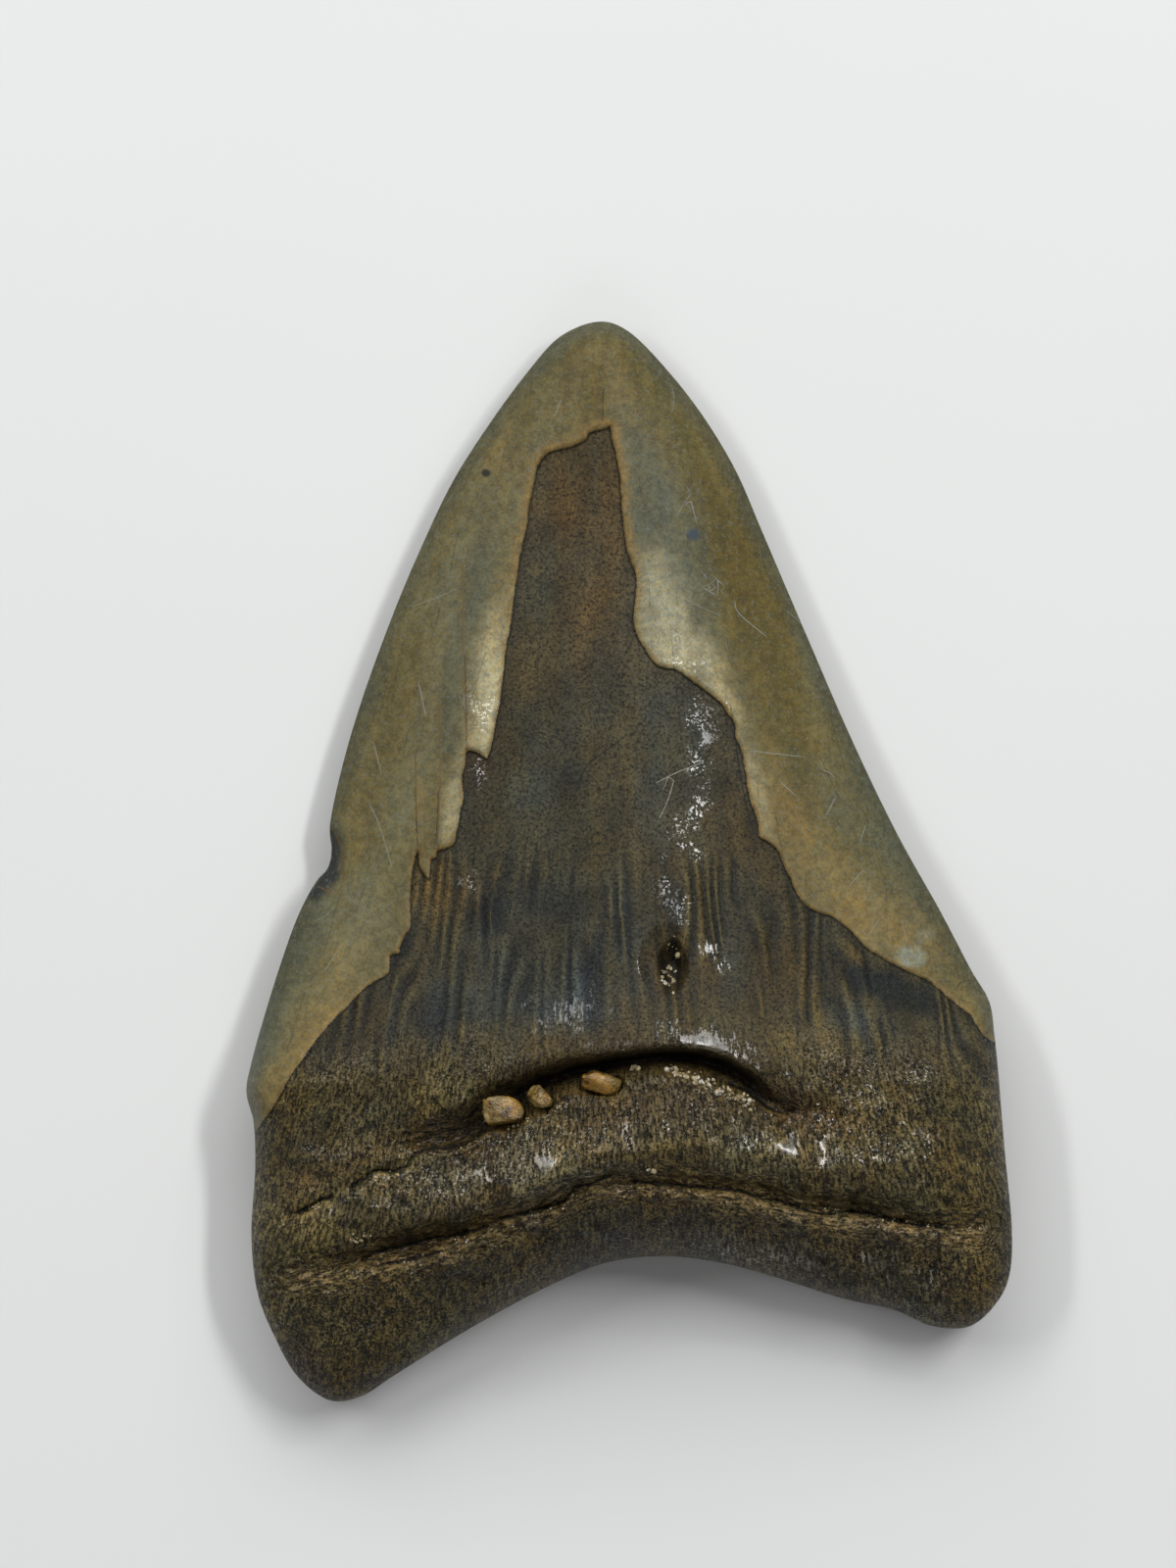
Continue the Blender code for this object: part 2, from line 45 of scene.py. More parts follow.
# The tooth's plan, clockwise from the tip.
plan = {
    "rightEdge": [(-2.6, 43.4), (-0.2, 42.7), (2.6, 40), (5.7, 36.1), (8.5, 31.5), (10.8, 26.2),
                  (14, 18.7), (17.9, 9.7), (21.5, 2.2), (25, -4.1), (27.4, -8.7), (28.9, -11.3),
                  (29.3, -13.8)],
    "rootRight": [(29.6, -16.7), (30.1, -23), (30.7, -29.5), (30.5, -33.4), (29.3, -35.8)],
    "arch": [(27.2, -37.5), (24.2, -37.4), (21.2, -36.1), (17.1, -35.2), (12.4, -33.7), (7.7, -32.4),
             (3, -31.8), (-1.8, -32.3), (-6.5, -34.2), (-12.8, -37.6), (-18.9, -41.4)],
    "rootLeft": [(-21.6, -43.1), (-24.2, -43.4), (-26.7, -41.5), (-28.4, -38.6), (-29.9, -34.8),
                 (-30.4, -30.1), (-30.1, -25), (-30.2, -21.2)],
    "leftEdge": [(-30.8, -18.7), (-30.5, -16.6), (-29.5, -12.9), (-28.1, -8.4), (-26.7, -4.5),
                 (-25.3, -1.8), (-24.3, -0.6), (-24, 0.9), (-24.1, 3), (-23.1, 7.7), (-21.5, 13.1),
                 (-19.1, 19.7), (-16.7, 25.4), (-14.2, 30.6), (-11.2, 35.3), (-8.1, 39.5), (-5.6, 42.2)],
    "midline": [(-2.6, 39.5), (-2.7, 30), (-2.7, 18), (-2, 8), (-0.8, 0), (0, -10),
                (1.5, -24)],
    "fanCentre": (-2.6, 75),  # growth lines run straight away from here
    "fanReach": 80,  # at this distance from there, places across the lines are in millimetres
}

# The broken lower edge of the enamel, from the left cutting edge up round the bare patch and down again.
enamelEdgeFront = [
    (-34, -22.6), (-30.2, -21.9), (-29.9, -21.5), (-28.6, -19.8), (-27.3, -17.5), (-26.2, -15.9),
    (-25, -14.2), (-23.8, -12.8), (-22.6, -11.6), (-21.2, -10.2), (-20, -9.4), (-19.3, -8.9), (-19.2, -8.3),
    (-19.2, -7.6), (-18.5, -7.4), (-18.4, -7), (-18, -6), (-17.6, -5.4), (-17.6, -3.3), (-17.5, -1.3),
    (-17.3, -0.3), (-17, 0.8), (-16.9, -0.2), (-16.7, -0.7), (-16.4, -1.2), (-16.1, -1.4), (-16, -0.8),
    (-15.9, 0.1), (-15.5, 0.2), (-15.4, 0.8), (-14.8, 1), (-14.1, 1.4), (-13.8, 2.6), (-13.5, 4.2),
    (-13.3, 5.1), (-13.4, 6.5), (-13.2, 7.7), (-13.1, 8.6), (-12.8, 8.8), (-12.2, 8.6), (-11.7, 8.3),
    (-11.4, 8.2), (-11.1, 9.1), (-10.8, 10.7), (-10.4, 12.8), (-10.2, 14.4), (-9.9, 17.2), (-9.7, 18),
    (-9.4, 19.9), (-9.2, 21.9), (-8.9, 23.9), (-8.6, 25.4), (-8.3, 26.6), (-8.1, 28.2), (-7.8, 29.8),
    (-7.6, 30.9), (-7.3, 31.9), (-6.8, 32.5), (-6.4, 32.8), (-5.7, 33), (-4.9, 33.2), (-4.1, 33.5),
    (-3.5, 33.8), (-3.3, 34.3), (-2.9, 34.5), (-2.4, 34.6), (-1.9, 34.7), (-1.6, 34.8), (-1.4, 33.7),
    (-1.1, 32.5), (-0.8, 30.9), (-0.7, 29), (-0.5, 27), (-0.3, 25.4), (0.1, 24), (0.5, 22.8), (0.55, 21.9),
    (0.4, 20.7), (0.3, 19.4), (0.5, 18.3), (0.9, 17.4), (1.5, 16.5), (2, 15.8), (2.5, 15.5), (3.1, 15.4),
    (3.6, 15.35), (4.2, 15), (5, 14.4), (5.8, 13.8), (6.6, 13.2), (7.4, 12.5), (7.8, 11.8), (8.4, 11),
    (8.5, 9.9), (8.9, 8.9), (9.2, 7.3), (9.4, 5.9), (9.7, 4.6), (10, 3.8), (10.3, 2.6), (10.4, 1.9),
    (10.8, 1.65), (11.4, 1.3), (11.9, 0.7), (12.4, -0.55), (12.9, -1.6), (13.3, -2.5), (13.8, -3.3),
    (14.4, -3.8), (15.1, -4.1), (16.3, -4.5), (17.2, -5.2), (17.8, -5.7), (18.3, -6.35), (19.2, -7.1),
    (20.1, -7.7), (21, -8.2), (21.9, -8.7), (22.8, -9.1), (23.7, -9.5), (24.4, -10), (25.1, -10.6),
    (26.2, -11.5), (27.3, -12.4), (27.8, -13.1), (28.2, -13.8), (28.9, -14.4), (29.6, -14.6), (34, -15.2),
]
enamelEdgeBack = [(-34, -22), (-29.4, -20.4), (-24, -17.6), (-14, -14.6), (-1, -13),
                  (12, -13.6), (22, -14.6), (28.6, -14.6), (34, -14.8)]
belowRoot = [(34, -60), (-34, -60)]  # closes the bare area under either enamel edge

# Heights, as (place along the tooth, height).
heights = {
    "rim": [(-44, 4.4), (-36, 5), (-30, 5.5), (-22, 5.5), (-16, 5), (-8, 4.4), (0, 3.9),
            (20, 3.1), (36, 2.8), (44, 2.7)],
    "domeAboveRim": [(-24, 10), (-16, 9.6), (-10, 9.15), (-4, 8.6), (5, 7.5), (15, 6.05),
                     (22, 4.8), (27, 3.95), (33, 3.2), (39, 2.6), (44, 2.2)],
    "flatBelowRim": [(-24, 5), (-14, 4.5), (-4, 3.75), (5, 3.4), (15, 2.95), (28, 2.55),
                     (36, 1.9), (44, 1.2)],
    "domePowers": (1.75, 2.1),  # at the neck and at the tip; 1 is a roof and 2 a parabola
    "flatPower": 2.4,
    "neck": (-9, -18),  # the crown turns into the root between these
    "rootCentre": 15.2,
    "rootLobe": 10.8,
    "rootSpread": 17,
    "lobeDrop": 0.12,
    "lobeStart": -24,
    "rootRounding": (8.5, 6),  # domed side, flat side
    "hollow": (1.1, 11),  # depth and half width of the hollow between the lobes' flat sides
    "sunk": 0.15,  # the lobes are worn flat where they lie on the floor
}

# Furrows and ridges of the root: (x, y, height, half width above the line, half width below it).
rootRoutes = {
    "slit": [(-18.4, -22.7, -0.2, 1.2, 0.5), (-16.3, -22.5, -1.3, 2, 0.3), (-14, -22.3, -2.2, 2.3, 0.3),
             (-12.2, -21.5, -2.6, 2.1, 0.4), (-10.5, -19.9, -2.7, 1.6, 1), (-8.6, -18.7, -2.9, 1.2, 1.1),
             (-6.1, -17.4, -3.1, 0.9, 1), (-3, -16.5, -3.2, 0.7, 0.9), (0.2, -15.9, -3.2, 0.6, 0.9),
             (3.2, -15.6, -3.2, 0.55, 0.9), (6.3, -16, -3.1, 0.55, 0.9), (8.8, -17.2, -2.6, 0.55, 0.8),
             (10.2, -18.3, -1.6, 0.5, 0.6), (11.6, -19.3, -0.9, 0.45, 0.5), (13.4, -20, -0.6, 0.8, 0.9),
             (15.5, -20.3, -0.4, 1, 1.1), (17.5, -20.6, -0.1, 0.8, 0.8)],
    "seam": [(-18.3, -23.6, -0.1, 0.4, 0.5), (-19.4, -24.9, -0.5, 0.5, 0.5), (-21.3, -25.5, -0.2, 0.4, 0.5),
             (-23.2, -26.7, -0.25, 0.4, 0.5), (-25, -27.6, -0.45, 0.45, 0.5), (-27.3, -28.4, -0.1, 0.4, 0.5)],
    "lip": [(-14, -18.6, 0.1, 1.9, 1.3), (-10.5, -17.2, 0.4, 1.9, 1.3), (-7, -16, 0.6, 2.1, 1.2),
            (-3, -15.2, 0.7, 2.3, 1.1), (1.5, -14.9, 0.7, 2.5, 0.9), (5, -15, 0.7, 2.5, 0.9),
            (8.5, -16, 0.7, 2.4, 0.9), (11.5, -17.3, 0.6, 2.1, 1.1), (14, -18.4, 0.2, 1.8, 1.2)],
    "bulge": [(-25, -29.9, 0.3, 3.2, 1.5), (-19, -28.6, 0.9, 3.1, 1.5), (-13, -27.1, 1.3, 2.7, 1.4),
              (-7, -25.7, 1.5, 2.6, 1.4), (-1, -23.4, 1.4, 3.1, 1.4), (5, -22.6, 1.4, 3.5, 1.4),
              (11, -23.6, 1.4, 3.5, 1.5), (17, -24.9, 1.1, 3.4, 1.5), (23, -26.3, 0.5, 3.2, 1.5)],
    "groove": [(-27.5, -33.2, -0.1, 1.3, 1), (-24.5, -32.7, -0.5, 1.2, 0.8), (-21.5, -32, -0.9, 1.3, 0.5),
               (-18.1, -31.1, -1.2, 1.3, 0.35), (-14.6, -30.3, -1.1, 1, 0.35), (-12, -29.3, -0.7, 0.9, 0.5),
               (-9.5, -28.3, -0.7, 1.1, 0.6), (-6.3, -27.3, -0.8, 1.1, 0.6), (-3.2, -25.9, -0.6, 0.8, 0.5),
               (0.5, -25.4, -0.6, 0.7, 0.5), (4.5, -25.6, -0.6, 0.7, 0.5), (8, -26, -0.8, 0.8, 0.4),
               (11, -26.8, -1, 0.9, 0.3), (13.9, -27.6, -1.2, 1, 0.3), (17, -27.9, -1.2, 1, 0.3),
               (20.5, -28.5, -1, 0.9, 0.3), (24.5, -29.1, -0.6, 0.9, 0.5), (28.1, -29.4, -0.1, 1.1, 1)],
    "ledge": [(-25, -34.3, 0.1, 0.8, 1.5), (-21, -33.6, 0.35, 0.8, 1.5), (-16.5, -32.6, 0.5, 0.7, 1.4),
              (-12.5, -31, 0.5, 0.7, 1.2), (-8.5, -29.9, 0.3, 0.8, 1.2), (-4, -27.4, 0.45, 0.7, 1.2),
              (0.5, -26.7, 0.45, 0.7, 1.2), (5, -26.8, 0.45, 0.7, 1.2), (9, -27.4, 0.5, 0.7, 1.2),
              (13.5, -28.8, 0.6, 0.7, 1.3), (18, -29.2, 0.6, 0.7, 1.3), (22, -30, 0.4, 0.7, 1.3),
              (26, -30.6, 0.15, 0.8, 1.3)],
}
# How far each one wanders (over 2 mm and over 0.8 mm) and how unevenly deep it is.
roughRoutes = {"slit": (0.15, 0.12, 0.2), "seam": (0.2, 0.2, 0.6), "groove": (0.15, 0.25, 0.5),
               "ledge": (0.5, 0.3, 0.7), "bulge": (0.6, 0.2, 0.3), "lip": (0.2, 0.1, 0.2)}
pebbles = {
    "pebble_left": {"centre": (-10.2, -19.9, 13.5), "radii": (1.75, 1.35, 1.15), "turn": -20, "seed": 3},
    "pebble_middle": {"centre": (-7.2, -18.9, 13.7), "radii": (1, 1.15, 0.9), "turn": 15, "seed": 8},
    "pebble_right": {"centre": (-2.6, -17.5, 14.3), "radii": (1.95, 1, 0.95), "turn": -6, "seed": 5},
}
pebbleSocket = 0.2  # room between a pebble and the bed it lies in
# Hollows are (x, y, half width, half length, depth). The chip is a flake lost from the left cutting edge.
hollows = {"chip": (-25.2, -0.2, 2.6, 3, 0.75), "vesselDish": (2.9, -7.9, 2.3, 3, 0.7),
           "vesselPit": (3.4, -8.4, 1.25, 2.2, 1.5)}
# The enamel rises by the share "step" of its thickness at once, and gets thinner down the neck.
enamel = {"thickness": 0.42, "baseThickness": 0.24, "bevel": 0.36, "baseBevel": 0.25, "edgeWear": 1,
          "step": 0.66, "stepWidth": (-0.05, 0.09), "thinning": (2, -6)}
# How far apart the corners of the fine surface are, and how wide the fine strips along the details are.
grid = {"outline": 0.33, "rings": (0.12, 0.3, 0.55, 0.9), "fromOutline": 1, "crown": 0.4, "root": 0.28,
        "back": 0.5, "nearEnamel": (0.13, 0.5), "nearCrack": (0.13, 0.35), "nearSlit": (0.17, 1.6),
        "nearGroove": (0.19, 2.2), "nearVessel": 0.17, "nearEnamelBack": (0.25, 0.6),
        "apart": 0.75, "ringApart": (0.8, 0.25)}  # corners that come closer than these shares are left out
# Fine relief is (height, size of a bump, seed, octaves of noise).
texture = {"enamelWaves": (0.06, 3, 1, 3), "dentineWaves": (0.05, 1.4, 2, 4), "rootLumps": (0.3, 6, 4, 2),
           "rootGrain": (0.09, 0.8, 6, 3), "backGrain": (0.09, 0.9, 12, 3), "backWaves": (0.06, 3, 13, 3),
           "raggedEdge": (0.07, 0.6, 5, 3)}
depths = {"wrinkles": 0.1, "laminae": 0.1, "crumbs": 0.7, "pores": 0.16, "crack": 0.35}
reliefFade = (0, 1.2)  # the fine relief dies away towards the outline
curveSteps = {"fine": 0.1, "plain": 0.2, "mark": 0.3}  # between the points that distances are measured to
noiseTable = np.random.default_rng(11).random((256, 256))


def curveThrough(points, step, closed=False):
    # evenly spaced points on a Catmull-Rom curve; columns after x and y are carried along
    knots = np.array(points, float)
    if closed:
        knots = np.vstack([knots[-1], knots, knots[:2]])
    else:
        knots = np.vstack([2 * knots[0] - knots[1], knots, 2 * knots[-1] - knots[-2]])
    t = np.linspace(0, 1, 24, endpoint=False)[:, None]
    spans = [
        0.5 * (2 * b + (c - a) * t + (2 * a - 5 * b + 4 * c - d) * t**2 + (3 * b - a - 3 * c + d) * t**3)
        for a, b, c, d in zip(knots, knots[1:], knots[2:], knots[3:])
    ]
    fine = np.vstack(spans + [knots[-2:-1]])
    along = np.r_[0, np.cumsum(np.hypot(*np.diff(fine[:, :2], axis=0).T))]
    count = max(3, round(along[-1] / step))
    stops = np.linspace(0, along[-1], count + 1)[: count if closed else count + 1]
    return np.column_stack([np.interp(stops, along, column) for column in fine.T])


def treeOf(points):
    tree = kdtree.KDTree(len(points))
    for i, point in enumerate(points):
        tree.insert((point[0], point[1], 0), i)
    tree.balance()
    return tree


def measureTo(points, line):
    # distance to a fine line (above 0 on its left), place along it, and its further columns there
    tree = treeOf(line)
    nearest = np.array([tree.find((x, y, 0))[1] for x, y in points])
    along = np.r_[0, np.cumsum(np.hypot(*np.diff(line[:, :2], axis=0).T))]
    best = np.full(len(points), np.inf)
    side = np.ones(len(points))
    carried = np.zeros((len(points), line.shape[1] - 1))
    for first in (np.clip(nearest - 1, 0, len(line) - 2), np.clip(nearest, 0, len(line) - 2)):
        a, b = line[first], line[first + 1]
        run, toPoint = b[:, :2] - a[:, :2], points - a[:, :2]
        t = np.clip((toPoint * run).sum(axis=1) / (run**2).sum(axis=1), 0, 1)
        gap = np.hypot(*(toPoint - t[:, None] * run).T)
        nearer = gap < best
        best[nearer] = gap[nearer]
        side[nearer] = np.sign(run[:, 0] * toPoint[:, 1] - run[:, 1] * toPoint[:, 0])[nearer]
        here = np.column_stack([along[first] + t * (along[first + 1] - along[first]),
                                a[:, 2:] + t[:, None] * (b[:, 2:] - a[:, 2:])])
        carried[nearer] = here[nearer]
    return best * side, carried[:, 0], carried[:, 1:]


def isInside(points, loop):
    x, y = points.T
    inside = np.zeros(len(points), bool)
    for (ax, ay), (bx, by) in zip(loop, np.roll(loop, -1, axis=0)):
        if ay != by:
            inside ^= ((ay > y) != (by > y)) & (x < ax + (y - ay) * (bx - ax) / (by - ay))
    return inside


def fromTable(table, y):
    # a table of (y, height) read as one smooth curve
    knots, values = np.array(table).T
    slopes = np.gradient(values, knots)
    i = np.clip(np.searchsorted(knots, y) - 1, 0, len(knots) - 2)
    width = knots[i + 1] - knots[i]
    t = np.clip((y - knots[i]) / width, 0, 1)
    low = (1 + 2 * t) * (1 - t) ** 2 * values[i] + t * (1 - t) ** 2 * width * slopes[i]
    return low + t * t * (3 - 2 * t) * values[i + 1] - t * t * (1 - t) * width * slopes[i + 1]


def ease(start, end, value):
    t = np.clip((value - start) / (end - start), 0, 1)
    return t * t * (3 - 2 * t)


def between(start, full, fading, end, value):
    # 1 from full to fading, and 0 before start and after end
    return ease(start, full, value) * ease(end, fading, value)


def hump(value, middle, width):
    return np.exp(-(((value - middle) / width) ** 2))


def turnedInto(dx, dy, degrees):
    # the same offsets, seen along and across a direction
    turned = math.radians(degrees)
    return dx * math.cos(turned) + dy * math.sin(turned), dy * math.cos(turned) - dx * math.sin(turned)


def quarterRound(distance, radius):
    return np.sqrt(1 - (1 - np.clip(distance / radius, 0, 1)) ** 2)


def dish(points, x, y, xRadius, yRadius, depth):
    r = ((points[:, 0] - x) / xRadius) ** 2 + ((points[:, 1] - y) / yRadius) ** 2
    return depth * (1 - np.clip(r, 0, 1)) ** 1.2


def cloud(x, y, size, seed=0, octaves=3):
    # smooth noise between -1 and 1 with bumps about size across
    total, weight = np.zeros(len(x)), 0
    for octave in range(octaves):
        u = x / size * 2**octave + 37.3 * seed + 11.7 * octave
        v = y / size * 2**octave + 59.1 * seed + 5.3 * octave
        i, j = np.floor(u).astype(int), np.floor(v).astype(int)
        s, t = u - i, v - j
        s, t = s * s * (3 - 2 * s), t * t * (3 - 2 * t)
        corner = [noiseTable[(i + a) & 255, (j + b) & 255] for a in (0, 1) for b in (0, 1)]
        low = corner[0] + t * (corner[1] - corner[0])
        high = corner[2] + t * (corner[3] - corner[2])
        total += (low + s * (high - low) - 0.5) * 2 * 0.5**octave
        weight += 0.5**octave
    return total / weight


def bumps(name, x, y):
    height, size, seed, octaves = texture[name]
    return height * cloud(x, y, size, seed, octaves)


# Hair cracks, ochre veins, pale scratches and open cracks, as points of the plan.
marks = {
    "dark": [[(-17.2, 6.2), (-17, 1)], [(8, 13), (9, 6), (9.9, 2.2)], [(-2.1, 38.4), (-2.2, 35)],
             [(-0.2, 10.1), (-1.8, 8.9), (-3.3, 7.7), (-4.5, 5.7)],
             [(-22.2, -16.4), (-20.6, -15.9), (-19.8, -16.2)], [(27.6, -9.6), (26.6, -9.8), (26, -10.6)],
             [(-6.6, -1), (-6.9, -4)], [(2, -1), (2.6, -5)], [(-13.2, 16.6), (-13.1, 12), (-13.1, 8.6)],
             [(-15.3, 6), (-15.5, 1.4)]],
    "ochre": [[(-13.4, 24), (-13.3, 14.5), (-13, 8.5)], [(-15.3, 13), (-15.2, 7), (-15.4, 1.2)],
              [(-17.2, 9), (-17.1, 3)],
              [(-24.2, 2.9), (-23.4, 1.6), (-23, -0.2), (-23.1, -1.9), (-23.6, -2.8)],
              [(-23.6, -2.8), (-25.2, -2)], [(-22, -15.2), (-21.4, -17.5)], [(-2.6, 39), (-2.7, 35.2)]],
    "pale": [[(5.7, 22), (7.1, 21.2)], [(6.7, 22.9), (7.7, 21.9)], [(8.4, 21.1), (8.6, 20.1), (9.6, 19.1),
             (11.1, 17.9)], [(9.7, 8.8), (14.2, 8.3)], [(15.2, 7.3), (16, 7.1), (16.6, 6.5)],
             [(6.1, 8), (3.8, 7.1), (1.8, 6.1)], [(3.6, 6.7), (3, 4.8), (2.2, 3.1)],
             [(-21, 4.8), (-20, 2.6), (-19, -0.8)], [(17.4, -2.2), (18.9, -0.6)],
             [(15.6, 3.4), (16.6, 5.2)], [(12, 6.4), (13.4, 5.1)], [(18.4, 1.2), (19, 3)],
             [(-17, 14.5), (-16.3, 11.4)], [(-20.6, 9.6), (-19.9, 6.8)], [(4.6, 30.2), (5.4, 27)],
             [(-24.6, -9), (-23.4, -7.2)], [(-5.4, 37.2), (-6.2, 35.4)]],
    "crack": [[(-27.1, -28.2), (-26.1, -28), (-24.7, -27.1), (-23.5, -26.7)],
              [(-22.6, -26.3), (-21.5, -25.5), (-20.3, -24.7), (-18.9, -24.7), (-17.8, -24.3), (-17.2, -23.4),
               (-16, -22.9), (-14, -22.8), (-12.4, -22.1), (-11.6, -21.2)],
              [(-21.5, -31.9), (-20.1, -31.2), (-18.1, -30.8), (-16, -30.2), (-13.6, -29.8), (-11.2, -29)],
              [(-20.6, -32.4), (-18.1, -31.9), (-16.5, -31.5), (-14.8, -31)],
              [(-10.8, -28.6), (-8, -27.9), (-5.4, -27.1), (-4.4, -26), (-3, -25.6), (-1.2, -24.7)],
              [(-0.2, -25.4), (3.8, -25.8), (8.4, -26.2), (10.3, -26.8), (11.9, -27.1), (13.9, -27.8),
               (15.7, -28.2), (17.1, -28), (19.1, -28.2), (21.1, -28.7), (22.9, -29.1), (24.5, -29.2),
               (26, -29.5)],
              [(7.4, -17.5), (9.2, -18.3), (10.7, -19.4), (11.9, -19.9), (13.4, -19.8)]],
}
# Hair lines that run with the growth of the tooth.
hairs = {
    "dark": {"count": 90, "length": (1.5, 7), "strength": 0.5, "turn": 0.06, "low": -14, "high": 40},
    "pale": {"count": 46, "length": (0.6, 2.6), "strength": 0.6, "turn": 0.9, "low": -6, "high": 40},
}
hairSides, hairJitter, hairBend = (-28, 28), 0.25, 0.1
markReach = 1  # a line is measured this far to either side
lineWanted = (0.75, 0.5)  # and fades out between these distances
crackHalfWidth = 0.16
crackKind = list(marks).index("crack")  # the kinds before it only colour the surface


def hairLines(hair, seed):
    rng = np.random.default_rng(seed)
    count = hair["count"]
    spread = (hairSides[1] - hairSides[0]) / count
    x = np.linspace(*hairSides, count) + rng.uniform(-hairJitter, hairJitter, count) * spread
    y = rng.uniform(hair["low"], hair["high"], count)
    away = np.column_stack([x - plan["fanCentre"][0], y - plan["fanCentre"][1]])
    away /= np.linalg.norm(away, axis=1)[:, None]
    turned = rng.normal(0, hair["turn"], count)
    run = np.column_stack([away[:, 0] - away[:, 1] * turned, away[:, 1] + away[:, 0] * turned])
    reach = rng.uniform(*hair["length"], count)[:, None] * run
    bend = rng.normal(0, hairBend, (count, 2))
    middle = np.column_stack([x, y])
    return [[tuple(m - r / 2), tuple(m + b), tuple(m + r / 2)] for m, r, b in zip(middle, reach, bend)]


def markFields(points):
    # signed distance to the nearest line of each kind, and how much that line counts here
    gaps, shares = [], []
    for seed, (kind, lines) in enumerate(marks.items()):
        nearest, share = np.full(len(points), 9.0), np.zeros(len(points))
        drawn = [(1.0, line) for line in lines]
        if kind in hairs:
            drawn += [(hairs[kind]["strength"], line) for line in hairLines(hairs[kind], seed)]
        for strength, line in drawn:
            fine = curveThrough(line, curveSteps["mark"])
            inBox = np.all(points > fine.min(axis=0) - markReach, axis=1)
            inBox &= np.all(points < fine.max(axis=0) + markReach, axis=1)
            if not inBox.any():
                continue
            gap, along, _ = measureTo(points[inBox], fine)
            length = np.hypot(*np.diff(fine, axis=0).T).sum()
            nearer = (np.abs(gap) < np.abs(nearest[inBox])) & (np.abs(gap) < markReach)
            places = np.flatnonzero(inBox)[nearer]
            nearest[places] = gap[nearer]
            fading = ease(0, 0.5, np.minimum(along, length - along)) * ease(*lineWanted, np.abs(gap))
            share[places] = strength * fading[nearer]
        gaps.append(nearest)
        shares.append(share)
    return np.column_stack(gaps), np.column_stack(shares)


outlineKnots = plan["rightEdge"] + plan["rootRight"] + plan["arch"] + plan["rootLeft"] + plan["leftEdge"]
fineOutline = curveThrough(outlineKnots, curveSteps["fine"], closed=True)
closedOutline = np.vstack([fineOutline, fineOutline[0]])
midline = curveThrough(plan["midline"], curveSteps["plain"])
edgeFront = curveThrough(enamelEdgeFront, curveSteps["fine"])
edgeBack = curveThrough(enamelEdgeBack, curveSteps["plain"])
routes = {name: curveThrough(route, curveSteps["fine"]) for name, route in rootRoutes.items()}


def fieldsAt(points, edge):
    # everything that heights and finishes depend on, measured once for each point
    x, y = points.T
    rim = np.abs(measureTo(points, closedOutline)[0])
    middle = np.abs(measureTo(points, midline)[0])
    covered = ~isInside(points, np.vstack([edge[:, :2], belowRoot]))
    gap = measureTo(points, edge)[0]
    centreX, centreY = plan["fanCentre"]
    angle = np.arctan2(x - centreX, centreY - y)
    lineGap, lineShare = markFields(points)
    return {
        "lineGap": lineGap, "lineShare": lineShare,
        "x": x, "y": y, "rim": rim, "across": rim / (rim + middle),
        "enamelGap": np.where(covered, 1, -1) * np.abs(gap) + bumps("raggedEdge", x, y),
        "fanX": angle * plan["fanReach"], "fanY": np.hypot(x - centreX, y - centreY),
    }


def enamelRise(f):
    lower = ease(*enamel["thinning"], f["y"])
    thickness = enamel["thickness"] + (enamel["baseThickness"] - enamel["thickness"]) * lower
    bevel = enamel["bevel"] + (enamel["baseBevel"] - enamel["bevel"]) * lower
    step = ease(*enamel["stepWidth"], f["enamelGap"])
    ramp = np.clip(f["enamelGap"] / bevel, 0, 1)
    rise = enamel["step"] * step + (1 - enamel["step"]) * ramp
    return thickness * rise * ease(0, enamel["edgeWear"], f["rim"])


def rootRelief(points, f):
    total = np.zeros(len(points))
    for name, line in routes.items():
        gap, along, shape = measureTo(points, line)
        height, above, below = shape.T
        wander, crumble, uneven = roughRoutes[name]
        gap = gap + wander * cloud(f["x"], f["y"], 2.2, seed=7)
        gap = gap + crumble * cloud(f["x"], f["y"], 0.8, seed=8)
        height = height * (1 + uneven * cloud(along, along * 0, 2.6, seed=9))
        total += height * hump(gap, 0, np.where(gap > 0, above, below))
        f[name] = gap
    return total * ease(0, 5, f["rim"])


def underPebbles(points):
    # the highest that the tooth may reach under each pebble
    ceiling = np.full(len(points), np.inf)
    for pebble in pebbles.values():
        u, v = turnedInto(*(points - pebble["centre"][:2]).T, pebble["turn"])
        r = np.hypot(u / (pebble["radii"][0] + pebbleSocket), v / (pebble["radii"][1] + pebbleSocket))
        bowl = pebble["centre"][2] - (pebble["radii"][2] + pebbleSocket) * np.sqrt(1 - np.clip(r, 0, 1) ** 2)
        ceiling = np.where(r < 1, np.minimum(ceiling, bowl), ceiling)
    return ceiling


